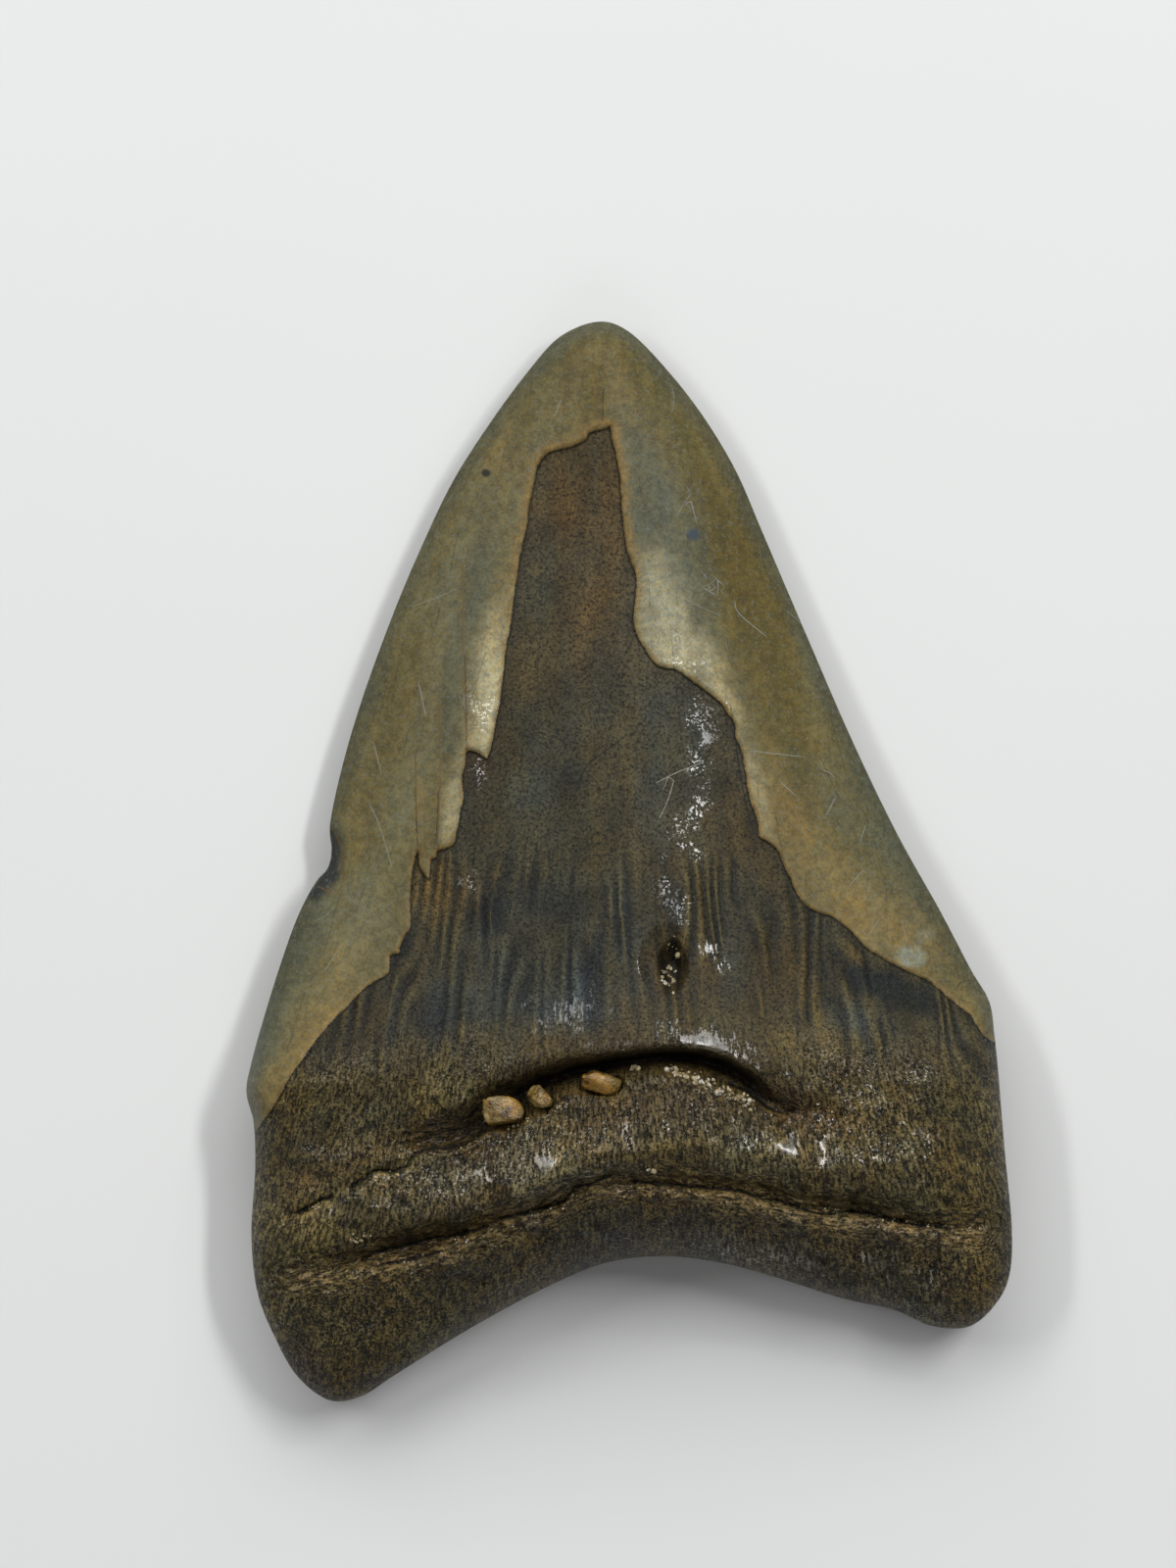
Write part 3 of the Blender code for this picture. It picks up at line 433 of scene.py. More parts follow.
def frontHeight(points, f):
    x, y, rim = f["x"], f["y"], f["rim"]
    baseRim = fromTable(heights["rim"], y) - dish(points, *hollows["chip"])
    neckPower, tipPower = heights["domePowers"]
    power = neckPower + (tipPower - neckPower) * ease(-10, 35, y)
    crown = baseRim + fromTable(heights["domeAboveRim"], y) * (1 - (1 - f["across"]) ** power)
    spine = hump(x, 0, heights["rootSpread"])
    top = heights["rootLobe"] + (heights["rootCentre"] - heights["rootLobe"]) * spine
    top = top - heights["lobeDrop"] * np.clip(heights["lobeStart"] - y, 0, None)
    root = baseRim + (top - baseRim) * quarterRound(rim, heights["rootRounding"][0])
    inRoot = ease(*heights["neck"], y)
    height = crown + (root - crown) * inRoot + rootRelief(points, f) + enamelRise(f)
    height = height - dish(points, *hollows["vesselDish"]) - dish(points, *hollows["vesselPit"])
    height = height + fineRelief(f, inRoot) * ease(*reliefFade, rim)
    cracked = hump(f["lineGap"][:, crackKind], 0, crackHalfWidth) * f["lineShare"][:, crackKind]
    return np.minimum(height - depths["crack"] * cracked, underPebbles(points))


def fineRelief(f, inRoot):
    # waves of the enamel and the dentine, and the root's lumps, wrinkles, grain, laminae, crumbs and pores
    x, y, fanX, fanY, slit, groove = (f[name] for name in ("x", "y", "fanX", "fanY", "slit", "groove"))
    onEnamel = ease(-0.1, 0.3, f["enamelGap"])
    waves = bumps("enamelWaves", fanX, fanY / 2.5) * onEnamel + bumps("dentineWaves", x, y) * (1 - onEnamel)
    wrinkles = (1 - 2.5 * np.abs(cloud(fanX, fanY / 1.6, 2, seed=19))) * ease(-13, -17, y)
    laminae = np.sin(math.tau * (groove / 0.75 + 0.6 * cloud(x, y, 3, seed=8)))
    laminae = laminae * (hump(groove, 0, 2.2) + 0.7 * hump(slit, 0, 1.8) * ease(-6, -12, x))
    crumbs = np.abs(cloud(x, y, 1.3, seed=21)) + 0.6 * np.abs(cloud(x, y, 0.6, seed=22))
    crumbs = crumbs * (hump(groove, -0.3, 2) + 0.7 * hump(slit, -1.3, 0.9) * between(-16, -12, 13, 16, x))
    pores = ease(0.25, 0.6, cloud(x, y, 0.75, seed=9, octaves=2)) * ease(7, 3, f["rim"]) * ease(-22, -28, y)
    rough = bumps("rootLumps", x, y) + bumps("rootGrain", fanX, fanY / 2) + depths["wrinkles"] * wrinkles
    rough = rough + depths["laminae"] * laminae - depths["crumbs"] * crumbs - depths["pores"] * pores
    return waves + rough * inRoot


def backHeight(points, f):
    x, y, rim = f["x"], f["y"], f["rim"]
    baseRim = fromTable(heights["rim"], y) - dish(points, *hollows["chip"]) * (1 - ease(0, 1, rim))
    crown = baseRim - fromTable(heights["flatBelowRim"], y) * (1 - (1 - f["across"]) ** heights["flatPower"])
    depth, halfWidth = heights["hollow"]
    base = depth * hump(x, 0, halfWidth) - heights["sunk"]
    root = baseRim + (base - baseRim) * quarterRound(rim, heights["rootRounding"][1])
    inRoot = ease(*heights["neck"], y)
    height = crown + (root - crown) * inRoot - enamelRise(f) * enamel["thickness"] / enamel["baseThickness"]
    rough = bumps("backGrain", x, y) * inRoot + bumps("backWaves", f["fanX"], f["fanY"] / 2.5)
    return np.maximum(height + rough * ease(*reliefFade, rim), 0)


def honeycomb(step, where):
    low, high = fineOutline.min(axis=0), fineOutline.max(axis=0)
    xs = np.arange(low[0], high[0], step)
    ys = np.arange(low[1], high[1], step * math.sqrt(3) / 2)
    rows = [np.column_stack([xs + step / 2 * (i % 2), np.full(len(xs), y)]) for i, y in enumerate(ys)]
    points = np.vstack(rows)
    return points[where(points)]


def keepApart(kept, points, apart):
    # the kept points and those of the new ones that are at least apart from them
    tree = treeOf(kept)
    free = [tree.find((x, y, 0))[2] > apart for x, y in points]
    return np.vstack([kept, points[np.array(free, bool)]])


def offsetRing(distance, step):
    # points at one distance inside the outline, without those that a sharp bend brings too near it
    line = curveThrough(outlineKnots, step, closed=True)
    around = np.vstack([line[-1], line, line[0]])
    run = np.gradient(around, axis=0)[1:-1]
    inner = line + distance * np.column_stack([run[:, 1], -run[:, 0]]) / np.hypot(*run.T)[:, None]
    return inner[np.abs(measureTo(inner, closedOutline)[0]) > 0.93 * distance]


def sheetPoints(outline, layers):
    # the outline, rows that follow it closely, and honeycombs that get coarser away from the details
    kept = outline
    share, most = grid["ringApart"]
    for distance in grid["rings"]:
        kept = keepApart(kept, offsetRing(distance, grid["outline"]), share * min(distance, most))
    for step, where in layers:
        points = honeycomb(step, where)
        points = points[isInside(points, outline)]
        points = points[np.abs(measureTo(points, closedOutline)[0]) > grid["fromOutline"]]
        kept = keepApart(kept, points, grid["apart"] * step)
    return kept


def strip(name, line):
    # a fine honeycomb along a line
    step, reach = grid[name]
    return step, lambda points: np.abs(measureTo(points, line)[0]) < reach


def inDish(x, y, xRadius, yRadius, _):
    return lambda points: ((points[:, 0] - x) / xRadius) ** 2 + ((points[:, 1] - y) / yRadius) ** 2 < 1.2


def triangulate(points, count):
    rim = [(i, (i + 1) % count) for i in range(count)]
    flat, _, faces, _, _, _ = delaunay_2d_cdt([tuple(p) for p in points], rim, [], 1, 1e-6)
    return np.array([tuple(p) for p in flat]), np.array([tuple(face) for face in faces])


# Colours of the soft zones that are painted on the corners of the mesh; recessShade is painted shade, laid
# into furrows, hollows and pits.
tones = {
    "oliveTan": (0.124, 0.101, 0.038), "tipTan": (0.108, 0.087, 0.029), "olive": (0.082, 0.063, 0.013),
    "greyOlive": (0.137, 0.12, 0.056), "blueGrey": (0.081, 0.087, 0.053), "paleBlue": (0.218, 0.227, 0.167),
    "cream": (0.35, 0.31, 0.178), "ochre": (0.155, 0.105, 0.03), "edgeGrey": (0.067, 0.07, 0.042),
    "tan": (0.181, 0.136, 0.05), "yellow": (0.113, 0.088, 0.023), "brown": (0.053, 0.039, 0.015),
    "rustBrown": (0.072, 0.045, 0.014), "greyBrown": (0.042, 0.036, 0.017), "slate": (0.032, 0.036, 0.028),
    "navy": (0.006, 0.01, 0.011), "smoothBrown": (0.034, 0.025, 0.009), "root": (0.093, 0.069, 0.022),
    "bulge": (0.128, 0.1, 0.045), "band": (0.062, 0.045, 0.015), "lobe": (0.092, 0.068, 0.019),
    "rim": (0.054, 0.044, 0.022), "recessShade": (0.042, 0.028, 0.01), "rust": (0.08, 0.047, 0.012),
    "sandRust": (0.195, 0.13, 0.05), "black": (0.004, 0.003, 0.002), "chip": (0.016, 0.018, 0.016),
    "edgeTan": (0.2, 0.132, 0.044), "purple": (0.032, 0.023, 0.015),
}
# Zones are (tone, x, y, half width, half length, turn in degrees, strength, softness).
coatZones = [
    ("tipTan", -2.6, 41, 7, 6, 0, 0.9, 0.7), ("greyOlive", -18, 10, 4.5, 14, -18, 0.7, 0.6),
    ("blueGrey", -13.2, 18, 1.3, 8, -10, 0.6, 0.6), ("greyOlive", -16.5, 14, 2, 9, -14, 0.5, 0.7),
    ("ochre", -12.5, 32.5, 3.5, 2.4, 0, 0.35, 0.8), ("tan", -17.5, 24, 1.6, 5, -20, 0.45, 0.8),
    ("tan", -19, 12, 1.3, 4, -12, 0.35, 0.8), ("greyOlive", -22.5, -3, 4, 6, -10, 0.7, 0.6),
    ("tan", -24.5, -12, 3.2, 5.5, -38, 0.6, 0.5), ("blueGrey", -27.2, -9.5, 2.4, 8, -19, 0.65, 0.6),
    ("blueGrey", -29.2, -11, 1.9, 8, -17, 0.7, 0.7), ("tan", -28.5, -19.5, 1.6, 3, -20, 0.7, 0.6),
    ("blueGrey", 2.6, 27, 3.2, 8, 12, 0.85, 0.6), ("yellow", 4.8, 33, 2.2, 8.5, 30, 0.8, 0.6),
    ("olive", 6.6, 29.5, 0.5, 5, 24, 0.7, 0.6), ("olive", 8, 24.5, 0.4, 4, 22, 0.7, 0.6),
    ("olive", 10.6, 19.5, 0.5, 5, 20, 0.5, 0.6), ("olive", 8.8, 22, 2.8, 9, 18, 0.9, 0.5),
    ("blueGrey", 5.2, 21, 1.8, 4.5, 10, 0.6, 0.7), ("olive", 11.5, 12, 2.5, 8, 20, 0.6, 0.7),
    ("olive", -19.5, 10, 1.6, 9, -14, 0.5, 0.7), ("blueGrey", 7.6, 15, 1.2, 4, 20, 0.4, 0.7),
    ("tan", 13, 1.5, 2.6, 6.5, 28, 0.35, 0.6), ("tan", 19.8, -4.6, 5, 3, -38, 0.95, 0.5),
    ("blueGrey", 21.5, 0.5, 1.7, 7.5, 24, 0.55, 0.7), ("ochre", 17.5, -4, 2.4, 1.2, -30, 0.5, 0.7),
    ("paleBlue", 22.6, -7.7, 1.2, 0.8, -15, 0.9, 0.4), ("paleBlue", 23.8, -6, 0.8, 0.5, 20, 0.5, 0.6),
    # The cream zones are partly the enamel's own cream colour and partly painted highlight where the side
    # lights catch it.
    ("cream", 2.3, 20, 1.9, 3.9, 6, 0.75, 0.7), ("cream", 4.5, 16.6, 2.9, 1.7, -35, 0.85, 0.6),
    ("cream", 7.2, 13.4, 0.7, 2.4, 40, 0.65, 0.6), ("cream", 10, 6, 0.8, 4, 15, 0.5, 0.7),
    ("cream", -10.9, 13, 1.8, 6.2, -8, 0.95, 0.7), ("blueGrey", -14.4, 12.5, 0.9, 4.5, -4, 0.7, 0.5),
    ("cream", -14, 4.2, 0.9, 3.4, -8, 0.75, 0.6), ("tan", -16.9, 2, 0.7, 4.4, -4, 0.7, 0.6),
    ("greyOlive", -20.5, 3, 2.6, 6, -12, 0.5, 0.7), ("ochre", -25.5, -13.5, 1.6, 2.2, -38, 0.5, 0.7),
    ("ochre", 13.2, 3, 1.2, 3.4, 20, 0.5, 0.7), ("blueGrey", 16.4, 4.6, 1, 3.4, 26, 0.5, 0.7),
]
chipZones = [("chip", -24.9, -0.3, 1.6, 2.9, -8, 0.95, 0.2)]
bareZones = [
    ("greyBrown", -3, 8, 9, 16, 0, 0.8, 0.7), ("rustBrown", -3.4, 28.5, 2.6, 3.4, 0, 0.6, 0.8),
    ("slate", -1.5, 15, 2.6, 6, 10, 0.35, 0.8), ("slate", 2.6, 12.8, 1.3, 1.5, 0, 0.5, 0.7),
    ("slate", -4, 2, 7, 5, 0, 0.2, 0.8), ("slate", -7.5, -6.5, 8.5, 4.5, 4, 0.6, 0.5),
    ("navy", -15.2, -12.5, 1.8, 4, 0, 0.6, 0.7), ("navy", -11.2, -4, 1.3, 1.6, 0, 0.8, 0.6),
    ("navy", -5.8, -3.8, 4.2, 2, 0, 0.55, 0.8), ("navy", -0.6, -5.4, 1.3, 1.8, 0, 0.55, 0.7),
    ("navy", -4.8, 6, 1.6, 1.4, 30, 0.45, 0.8), ("navy", -9.5, 17.5, 0.8, 6, -8, 0.35, 0.8),
    ("rustBrown", -2.6, 22, 2.6, 5.5, 0, 0.5, 0.8), ("rustBrown", -14, -2, 2, 2, 0, 0.5, 0.8),
    ("slate", 3.4, 11.8, 1.4, 1.8, 0, 0.6, 0.6), ("slate", -5, -11.5, 10, 2.6, 8, 0.75, 0.7),
    ("smoothBrown", 5, -11, 7, 2, 0, 0.6, 0.7), ("brown", -14.5, 1, 2.2, 7, -16, 0.6, 0.6),
    ("smoothBrown", -21.5, -12.5, 5.5, 3.2, 35, 0.5, 0.6), ("smoothBrown", 9.8, 1, 3, 8, 18, 0.7, 0.7),
    ("smoothBrown", 14, -7.5, 4, 3.4, -35, 0.85, 0.6), ("navy", 18.6, -9.6, 1.4, 1.1, -20, 0.95, 0.4),
    ("navy", 21.4, -10.6, 3.2, 1.6, -25, 0.98, 0.5), ("navy", 14, -12.6, 0.7, 1, 10, 0.7, 0.7),
    ("navy", -16.4, -13.3, 0.7, 0.6, 0, 0.7, 0.6), ("navy", -15.6, -16.2, 1.6, 0.9, 10, 0.8, 0.6),
    ("navy", -11.5, -15.4, 1.8, 0.7, 10, 0.5, 0.7), ("purple", -12.2, 7.2, 0.9, 1.9, 0, 0.8, 0.6),
    ("slate", 22, -14, 6, 1.6, -12, 0.5, 0.7),
]
rootZones = [
    ("band", 0, -14.5, 14, 3, 0, 0.75, 0.6), ("band", -21, -18, 9, 2.6, 24, 0.6, 0.8),
    # The lighter bulge tone is partly painted light: on the bulge's crest and, further down, on the ledge
    # below the groove.
    ("band", 22, -15.5, 9, 2.4, -10, 0.5, 0.8), ("bulge", -10, -25, 9, 2.2, 22, 0.9, 0.6),
    ("bulge", -24, -25.5, 7, 2.6, 20, 0.5, 0.7), ("bulge", 10, -23, 11, 2, -8, 0.25, 0.6),
    ("band", -3, -20.4, 6.5, 1.9, 10, 0.55, 0.7), ("band", 4.5, -20.2, 7, 1.8, -6, 0.7, 0.7),
    ("rust", 14, -19.6, 4.2, 1.4, -18, 0.9, 0.6), ("rust", -22.5, -24, 7, 0.9, 24, 0.5, 0.8),
    ("rust", 1, -19.6, 5, 1.1, 8, 0.45, 0.8), ("rust", -10.5, -26.3, 0.7, 1.2, 10, 0.7, 0.6),
    ("lobe", -21, -37, 9, 5.5, 30, 0.9, 0.6), ("band", -10, -31.5, 13, 3.6, 25, 0.85, 0.6),
    ("band", 4, -29.3, 11, 2.2, 0, 0.8, 0.6), ("band", 16, -31, 8, 2, -12, 0.6, 0.7),
    ("rim", 13, -32.5, 13, 2, -15, 0.8, 0.6), ("band", 24, -34, 6, 3.5, -15, 0.6, 0.7),
    # recessShade here is painted shade in the hollow left of the slit and in the dark wedge of the groove
    ("purple", -26.6, -41.2, 2.4, 2.6, -30, 0.8, 0.5), ("recessShade", -14.4, -21.4, 3.4, 1.4, 12, 0.95, 0.4),
    ("recessShade", -18, -30.6, 5, 1, 8, 0.85, 0.5), ("rust", -14.5, -22.7, 2.6, 0.4, 12, 0.5, 0.6),
    ("rust", 3, -26.4, 8, 0.9, 4, 0.5, 0.8), ("rust", 20.5, -29.4, 7, 0.7, -8, 0.6, 0.7),
    ("bulge", 17, -28.6, 8, 1.2, -12, 0.7, 0.7), ("slate", -7.6, -28.8, 0.9, 0.9, 0, 0.8, 0.5),
    ("navy", -18.5, -27.4, 0.8, 0.6, 0, 0.4, 0.7),
]
backZones = [
    ("greyOlive", -8, 15, 10, 16, 0, 0.7, 0.7), ("blueGrey", 6, 10, 6, 16, 12, 0.6, 0.7),
    ("olive", -12, -4, 7, 9, -20, 0.6, 0.7), ("tan", 0, -11, 16, 2.2, 0, 0.6, 0.7),
    ("yellow", -3, 34, 5, 6, 0, 0.6, 0.7), ("tan", 16, -9, 8, 4, 20, 0.5, 0.7),
]
backRootZones = [
    ("bulge", 0, -24, 14, 5, 0, 0.6, 0.8), ("band", -16, -32, 10, 5, 25, 0.7, 0.7),
    ("slate", 14, -19, 9, 3, -10, 0.6, 0.7), ("rust", -6, -18, 8, 2, 8, 0.4, 0.8),
    ("lobe", 22, -31, 7, 4, 0, 0.6, 0.7),
]


# How far the border of a zone wanders, and how ragged it is at one fine size.
zoneBorder = {"wander": 0.4, "ragged": 0.15, "raggedSize": 0.7}
# Clouds over a colour: (stretch along the growth lines, seed, size, contrast, turn of the hue).
mottles = {"coat": [(3, 31, 2.4, 0.24, 0.14), (2, 33, 0.9, 0.2, 0.1)],
           "bare": [(0, 37, 2.6, 0.5, 0.26), (4, 63, 1.1, 0.4, 0.28)],
           "root": [(2.5, 39, 1.3, 0.6, 0.22), (0, 61, 4.5, 0.55, 0.12)]}


def flatTone(count, tone):
    return np.tile(np.array(tones[tone]), (count, 1))


def blend(colours, tone, share):
    return colours + share[:, None] * (np.array(tones[tone]) - colours)


def paint(colours, points, zones, seed):
    x, y = points.T
    ragged = zoneBorder["ragged"] * cloud(x, y, zoneBorder["raggedSize"], seed=seed)
    for i, (tone, cx, cy, halfWidth, halfLength, turn, strength, soft) in enumerate(zones):
        u, v = turnedInto(x - cx, y - cy, turn)
        size = 0.5 * min(halfWidth, halfLength) + 0.8
        reach = np.hypot(u / halfWidth, v / halfLength) + ragged
        reach = reach + zoneBorder["wander"] * cloud(x, y, size, seed=seed + i)
        colours = blend(colours, tone, strength * (1 - ease(1 - soft, 1 + soft, reach)))
    return colours


def mottle(colours, f, name):
    # lighter and darker, bluer and browner clouds
    for stretch, seed, size, contrast, turn in mottles[name]:
        x, y = (f["fanX"], f["fanY"] / stretch) if stretch else (f["x"], f["y"])
        value = 1 + contrast * cloud(x, y, size, seed=seed, octaves=4)
        hue = turn * cloud(x, y, size * 1.3, seed=seed + 1, octaves=4)
        colours = colours * value[:, None] * np.column_stack([1 + hue, 1 + 0.2 * hue, 1 - 1.3 * hue])
    return colours


def aboveRoot(x, y):
    # height above the bowed line where the smooth neck turns into the rough root
    return y + 11.8 + 0.0055 * (x - 2) ** 2


def greyRim(colours, points, f):
    return blend(colours, "edgeGrey", 0.7 * ease(1.7, 0.3, f["rim"] + 0.4 * cloud(*points.T, 2, seed=14)))


# Painted shade in the vessel's dish and its pit: (tone, x, y, half width, half length, strength, where it
# begins, where it is full)
vesselShade = [("recessShade", 2.9, -7.9, 2.2, 2.8, 0.8, 1.2, 0.7), ("black", 3.4, -8.3, 1.1, 1.9, 0.85, 1.3, 0.5)]


def tintsFront(points, f):
    x, y = points.T
    slit, groove = f["slit"], f["groove"]
    coat = paint(flatTone(len(points), "oliveTan"), points, coatZones, 20)
    coat = greyRim(mottle(coat, f, "coat"), points, f)
    bevelWidth = 0.32 + 0.22 * ease(18, 26, y)
    atWindow = ease(bevelWidth + 0.12, bevelWidth - 0.12, f["enamelGap"] + 0.16 * cloud(x, y, 1.2, seed=34))
    tanShare = np.clip(0.6 + 0.25 * ease(20, 28, y) + 0.5 * cloud(x, y, 1.6, seed=35), 0, 1)
    coat = blend(coat, "edgeTan", atWindow * tanShare)
    coat = paint(coat, points, chipZones, 90)

    bare = blend(flatTone(len(points), "greyBrown"), "brown", ease(6, 30, y))
    bare = mottle(paint(bare, points, bareZones, 120), f, "bare")
    root = mottle(paint(flatTone(len(points), "root"), points, rootZones, 160), f, "root")
    # Painted shade: the lip's underside just above the slit is darkened, and the slit itself is painted
    # black.
    root = blend(root, "recessShade", 0.85 * hump(slit, 0.4, 1.5) * between(-18, -14, 12, 18, x))
    underSlit = hump(slit, -1.4, 1) * between(-16, -12, 14, 17, x)
    root = blend(root, "rust", 0.9 * underSlit * np.clip(0.5 + 1.2 * cloud(x, y, 1.4, seed=53), 0, 1))
    inSlit = ease(0.75, 0.25, np.abs(slit - 0.05)) * between(-12.5, -10, 9, 12, x)
    root = blend(root, "black", 0.95 * inSlit)
    broken = np.clip(0.65 + 0.8 * cloud(x, y, 2, seed=41), 0, 1)
    # Painted shade on the upper side of the groove.
    root = blend(root, "recessShade", 0.3 * broken * hump(groove, 0.5, 0.7))
    root = blend(root, "sandRust", 0.9 * (1.2 - broken) * hump(groove, -0.5, 1))
    holes = ease(0.35, 0.6, cloud(x, y, 0.9, seed=42, octaves=2)) * ease(-18, -23, y)
    root = blend(root, "black", 0.7 * holes)
    inRoot = ease(1, -2.6, aboveRoot(x, y) - cloud(x, y, 2, seed=15))
    bare = bare + inRoot[:, None] * (root - bare)
    ragged = 0.35 * cloud(x, y, 1, seed=47)
    for tone, cx, cy, halfWidth, halfLength, strength, begins, full in vesselShade:
        reach = np.hypot((x - cx) / halfWidth, (y - cy) / halfLength) + ragged
        bare = blend(bare, tone, strength * ease(begins, full, reach))
    return coat, bare


# Places that wear has polished: (x, y, half width, half length, turn in degrees, strength).
shine = [
    (5.7, 9.6, 1.1, 2.9, 0, 0.6), (5.7, 4.2, 0.8, 2.2, 0, 0.35), (4.5, 1.4, 1.7, 1.9, 20, 0.42),
    (3, -1.4, 1.4, 2, 10, 0.42), (4.1, -4, 0.8, 1.8, 8, 0.5), (6.4, -7.4, 0.8, 2.2, 38, 0.4),
    (0.6, -7, 0.35, 2.2, 0, 0.35), (-2.6, -6.5, 1, 3.6, 5, 0.25), (-5, -11.6, 4.6, 1.8, 10, 0.32),
    (-12.8, -2.2, 1.6, 1.4, 0, 0.25), (-12, 7.2, 0.9, 1.8, 0, 0.22), (5.9, -14.2, 2.7, 0.9, -14, 1.5),
    (-11.6, -25.7, 0.8, 1.2, 0, 1.1), (-7.3, -24.3, 1.8, 0.9, 18, 1.5), (8.3, -23.3, 1.5, 0.7, -8, 0.8),
    (12.5, -22.8, 0.9, 1.1, 0, 0.9), (15.5, -22.3, 0.7, 1, 0, 0.8), (18.9, -21.3, 0.4, 0.5, 0, 0.8),
]


def polishFront(points, f):
    x, y = points.T
    bare = np.zeros(len(points))
    for cx, cy, halfWidth, halfLength, turn, strength in shine:
        u, v = turnedInto(x - cx, y - cy, turn)
        bare = np.maximum(bare, strength * np.exp(-((u / halfWidth) ** 2) - (v / halfLength) ** 2))
    lip = 0.25 * hump(f["lip"], -0.2, 1.1) * ease(-11, -13, y)
    archRim = 0.4 * hump(f["rim"], 3, 2) * between(3, 8, 24, 27, x) * ease(-29, -31, y)
    bulge = 0.3 * hump(f["bulge"], 0.8, 1.5) * ease(-16, -18, y)
    bare = np.maximum.reduce([bare, lip, archRim, bulge])
    strips = np.where(x > -2, 0.2 * between(9, 13, 15.6, 17, y), 0.3 * between(9.5, 12, 14.5, 16.5, y))
    onEnamel = ease(-0.1, 0.1, f["enamelGap"]) * ease(2.2, 0.6, np.abs(f["enamelGap"] - 0.8))
    polish = bare + onEnamel * (strips - bare)
    broken = 0.8 + 2.2 * cloud(x, y, 1.3, seed=44)
    broken = broken + (1 - broken) * hump(f["lip"], 0.4, 1.3) * between(0, 3, 8, 11, x)
    return np.clip(polish * broken, 0, 1) * ease(0.6, 1, np.abs(f["slit"]))


def ribFields(points, f):
    # the fine ribs of the neck: a wave that the finish draws, how strong it is, and how ochre its crests are
    x, y = points.T
    share = ease(2.5, -3, y) * ease(-5, 0.5, aboveRoot(x, y) + cloud(x, y, 2, seed=15))
    share = share * (1 - ease(-0.1, 0.2, f["enamelGap"]))
    share = share * np.clip(0.6 + 1.9 * cloud(x, y / 3, 1.9, seed=18), 0, 1.3)
    crests = share * ease(0.1, 0.4, cloud(x, y / 4, 1.3, seed=52))
    return f["fanX"] / 1.25 + 1.1 * cloud(x, y / 4, 2.4, seed=3, octaves=2), share, crests


def layerFields(points, f):
    # where the root's grain bends to run along a furrow, and the distance across that furrow
    x, y = points.T
    slit = hump(f["slit"], 0.3, 1.2 + 1.3 * ease(-10, -13, x)) * between(-19, -16, 12, 15, x)
    groove = hump(f["groove"], -0.3, 2.4)
    gap = np.where(slit > groove, f["slit"], f["groove"])
    return gap, np.maximum(slit, groove) + 0.35 * cloud(x, y, 1.6, seed=51)


def tintsBack(points, f):
    coat = greyRim(paint(flatTone(len(points), "oliveTan"), points, backZones, 200), points, f)
    bare = flatTone(len(points), "root") * (1 + 0.35 * cloud(*points.T, 4, seed=17))[:, None]
    return coat, paint(bare, points, backRootZones, 220)


onOutline = 0.02  # corners within this distance are shared by both sides
rootLook = {"begins": (-11.5, -17), "wander": (1.5, 2.2), "lobeBelowGroove": (-0.5, -2.5), "backPolish": 0.4}


def finishFields(points, f, isFront):
    # what the finish reads at every corner; marks, ribs and layers are kept to the front
    x, y = points.T
    none = np.zeros(len(points))
    wander, size = rootLook["wander"]
    inRoot = ease(*rootLook["begins"], y + wander * cloud(x, y, size, seed=45))
    coat, bare = (tintsFront if isFront else tintsBack)(points, f)
    ribWave, ribShare, ribCrests = ribFields(points, f)
    layerGap, layerShare = layerFields(points, f) if isFront else (none, none)
    lineGap, lineShare = f["lineGap"], f["lineShare"] * isFront
    return {
        "enamelGap": f["enamelGap"], "fanX": f["fanX"], "fanY": f["fanY"], "side": none + isFront,
        "polish": polishFront(points, f) if isFront else none + rootLook["backPolish"], "inRoot": inRoot,
        "inLobe": ease(*rootLook["lobeBelowGroove"], f["groove"]) if isFront else inRoot,
        "coatTint": coat, "bareTint": bare,
        "lineGap": lineGap[:, :crackKind], "lineShare": lineShare[:, :crackKind],
        "crackGap": lineGap[:, crackKind], "crackShare": lineShare[:, crackKind],
        "ribWave": ribWave, "ribShare": ribShare * isFront, "ribCrests": ribCrests * isFront,
        "layerGap": layerGap, "layerShare": layerShare,
    }


def buildTooth():
    outline = curveThrough(outlineKnots, grid["outline"], closed=True)
    frontPlan = sheetPoints(outline, [
        strip("nearEnamel", edgeFront),
        *(strip("nearCrack", curveThrough(line, curveSteps["fine"])) for line in marks["crack"]),
        strip("nearSlit", routes["slit"]), strip("nearGroove", routes["groove"]),
        (grid["nearVessel"], inDish(*hollows["vesselDish"])),
        (grid["root"], lambda points: points[:, 1] < -9),
        (grid["crown"], lambda points: points[:, 1] > -12),
    ])
    backPlan = sheetPoints(outline, [
        strip("nearEnamelBack", edgeBack),
        (grid["back"], lambda points: np.full(len(points), True)),
    ])
    corners, faces, fields = [], [], []
    for isFront, sheetPlan, edge in ((True, frontPlan, edgeFront), (False, backPlan, edgeBack)):
        flat, triangles = triangulate(sheetPlan, len(outline))
        f = fieldsAt(flat, edge)
        height = (frontHeight if isFront else backHeight)(flat, f)
        rimHeight = fromTable(heights["rim"], flat[:, 1]) - dish(flat, *hollows["chip"])
        height = np.where(f["rim"] < onOutline, rimHeight, height)
        a, b, c = (flat[triangles[:, k]] for k in range(3))
        clockwise = (b - a)[:, 0] * (c - a)[:, 1] < (b - a)[:, 1] * (c - a)[:, 0]
        inward = clockwise == isFront
        triangles[inward] = triangles[inward][:, ::-1]
        faces.append(triangles + sum(len(part) for part in corners))
        corners.append(np.column_stack([flat * planFit, height]))
        fields.append(finishFields(flat, f, isFront))
    layers = {name: np.concatenate([side[name] for side in fields]) for name in fields[0]}
    return np.vstack(corners), np.vstack(faces), layers


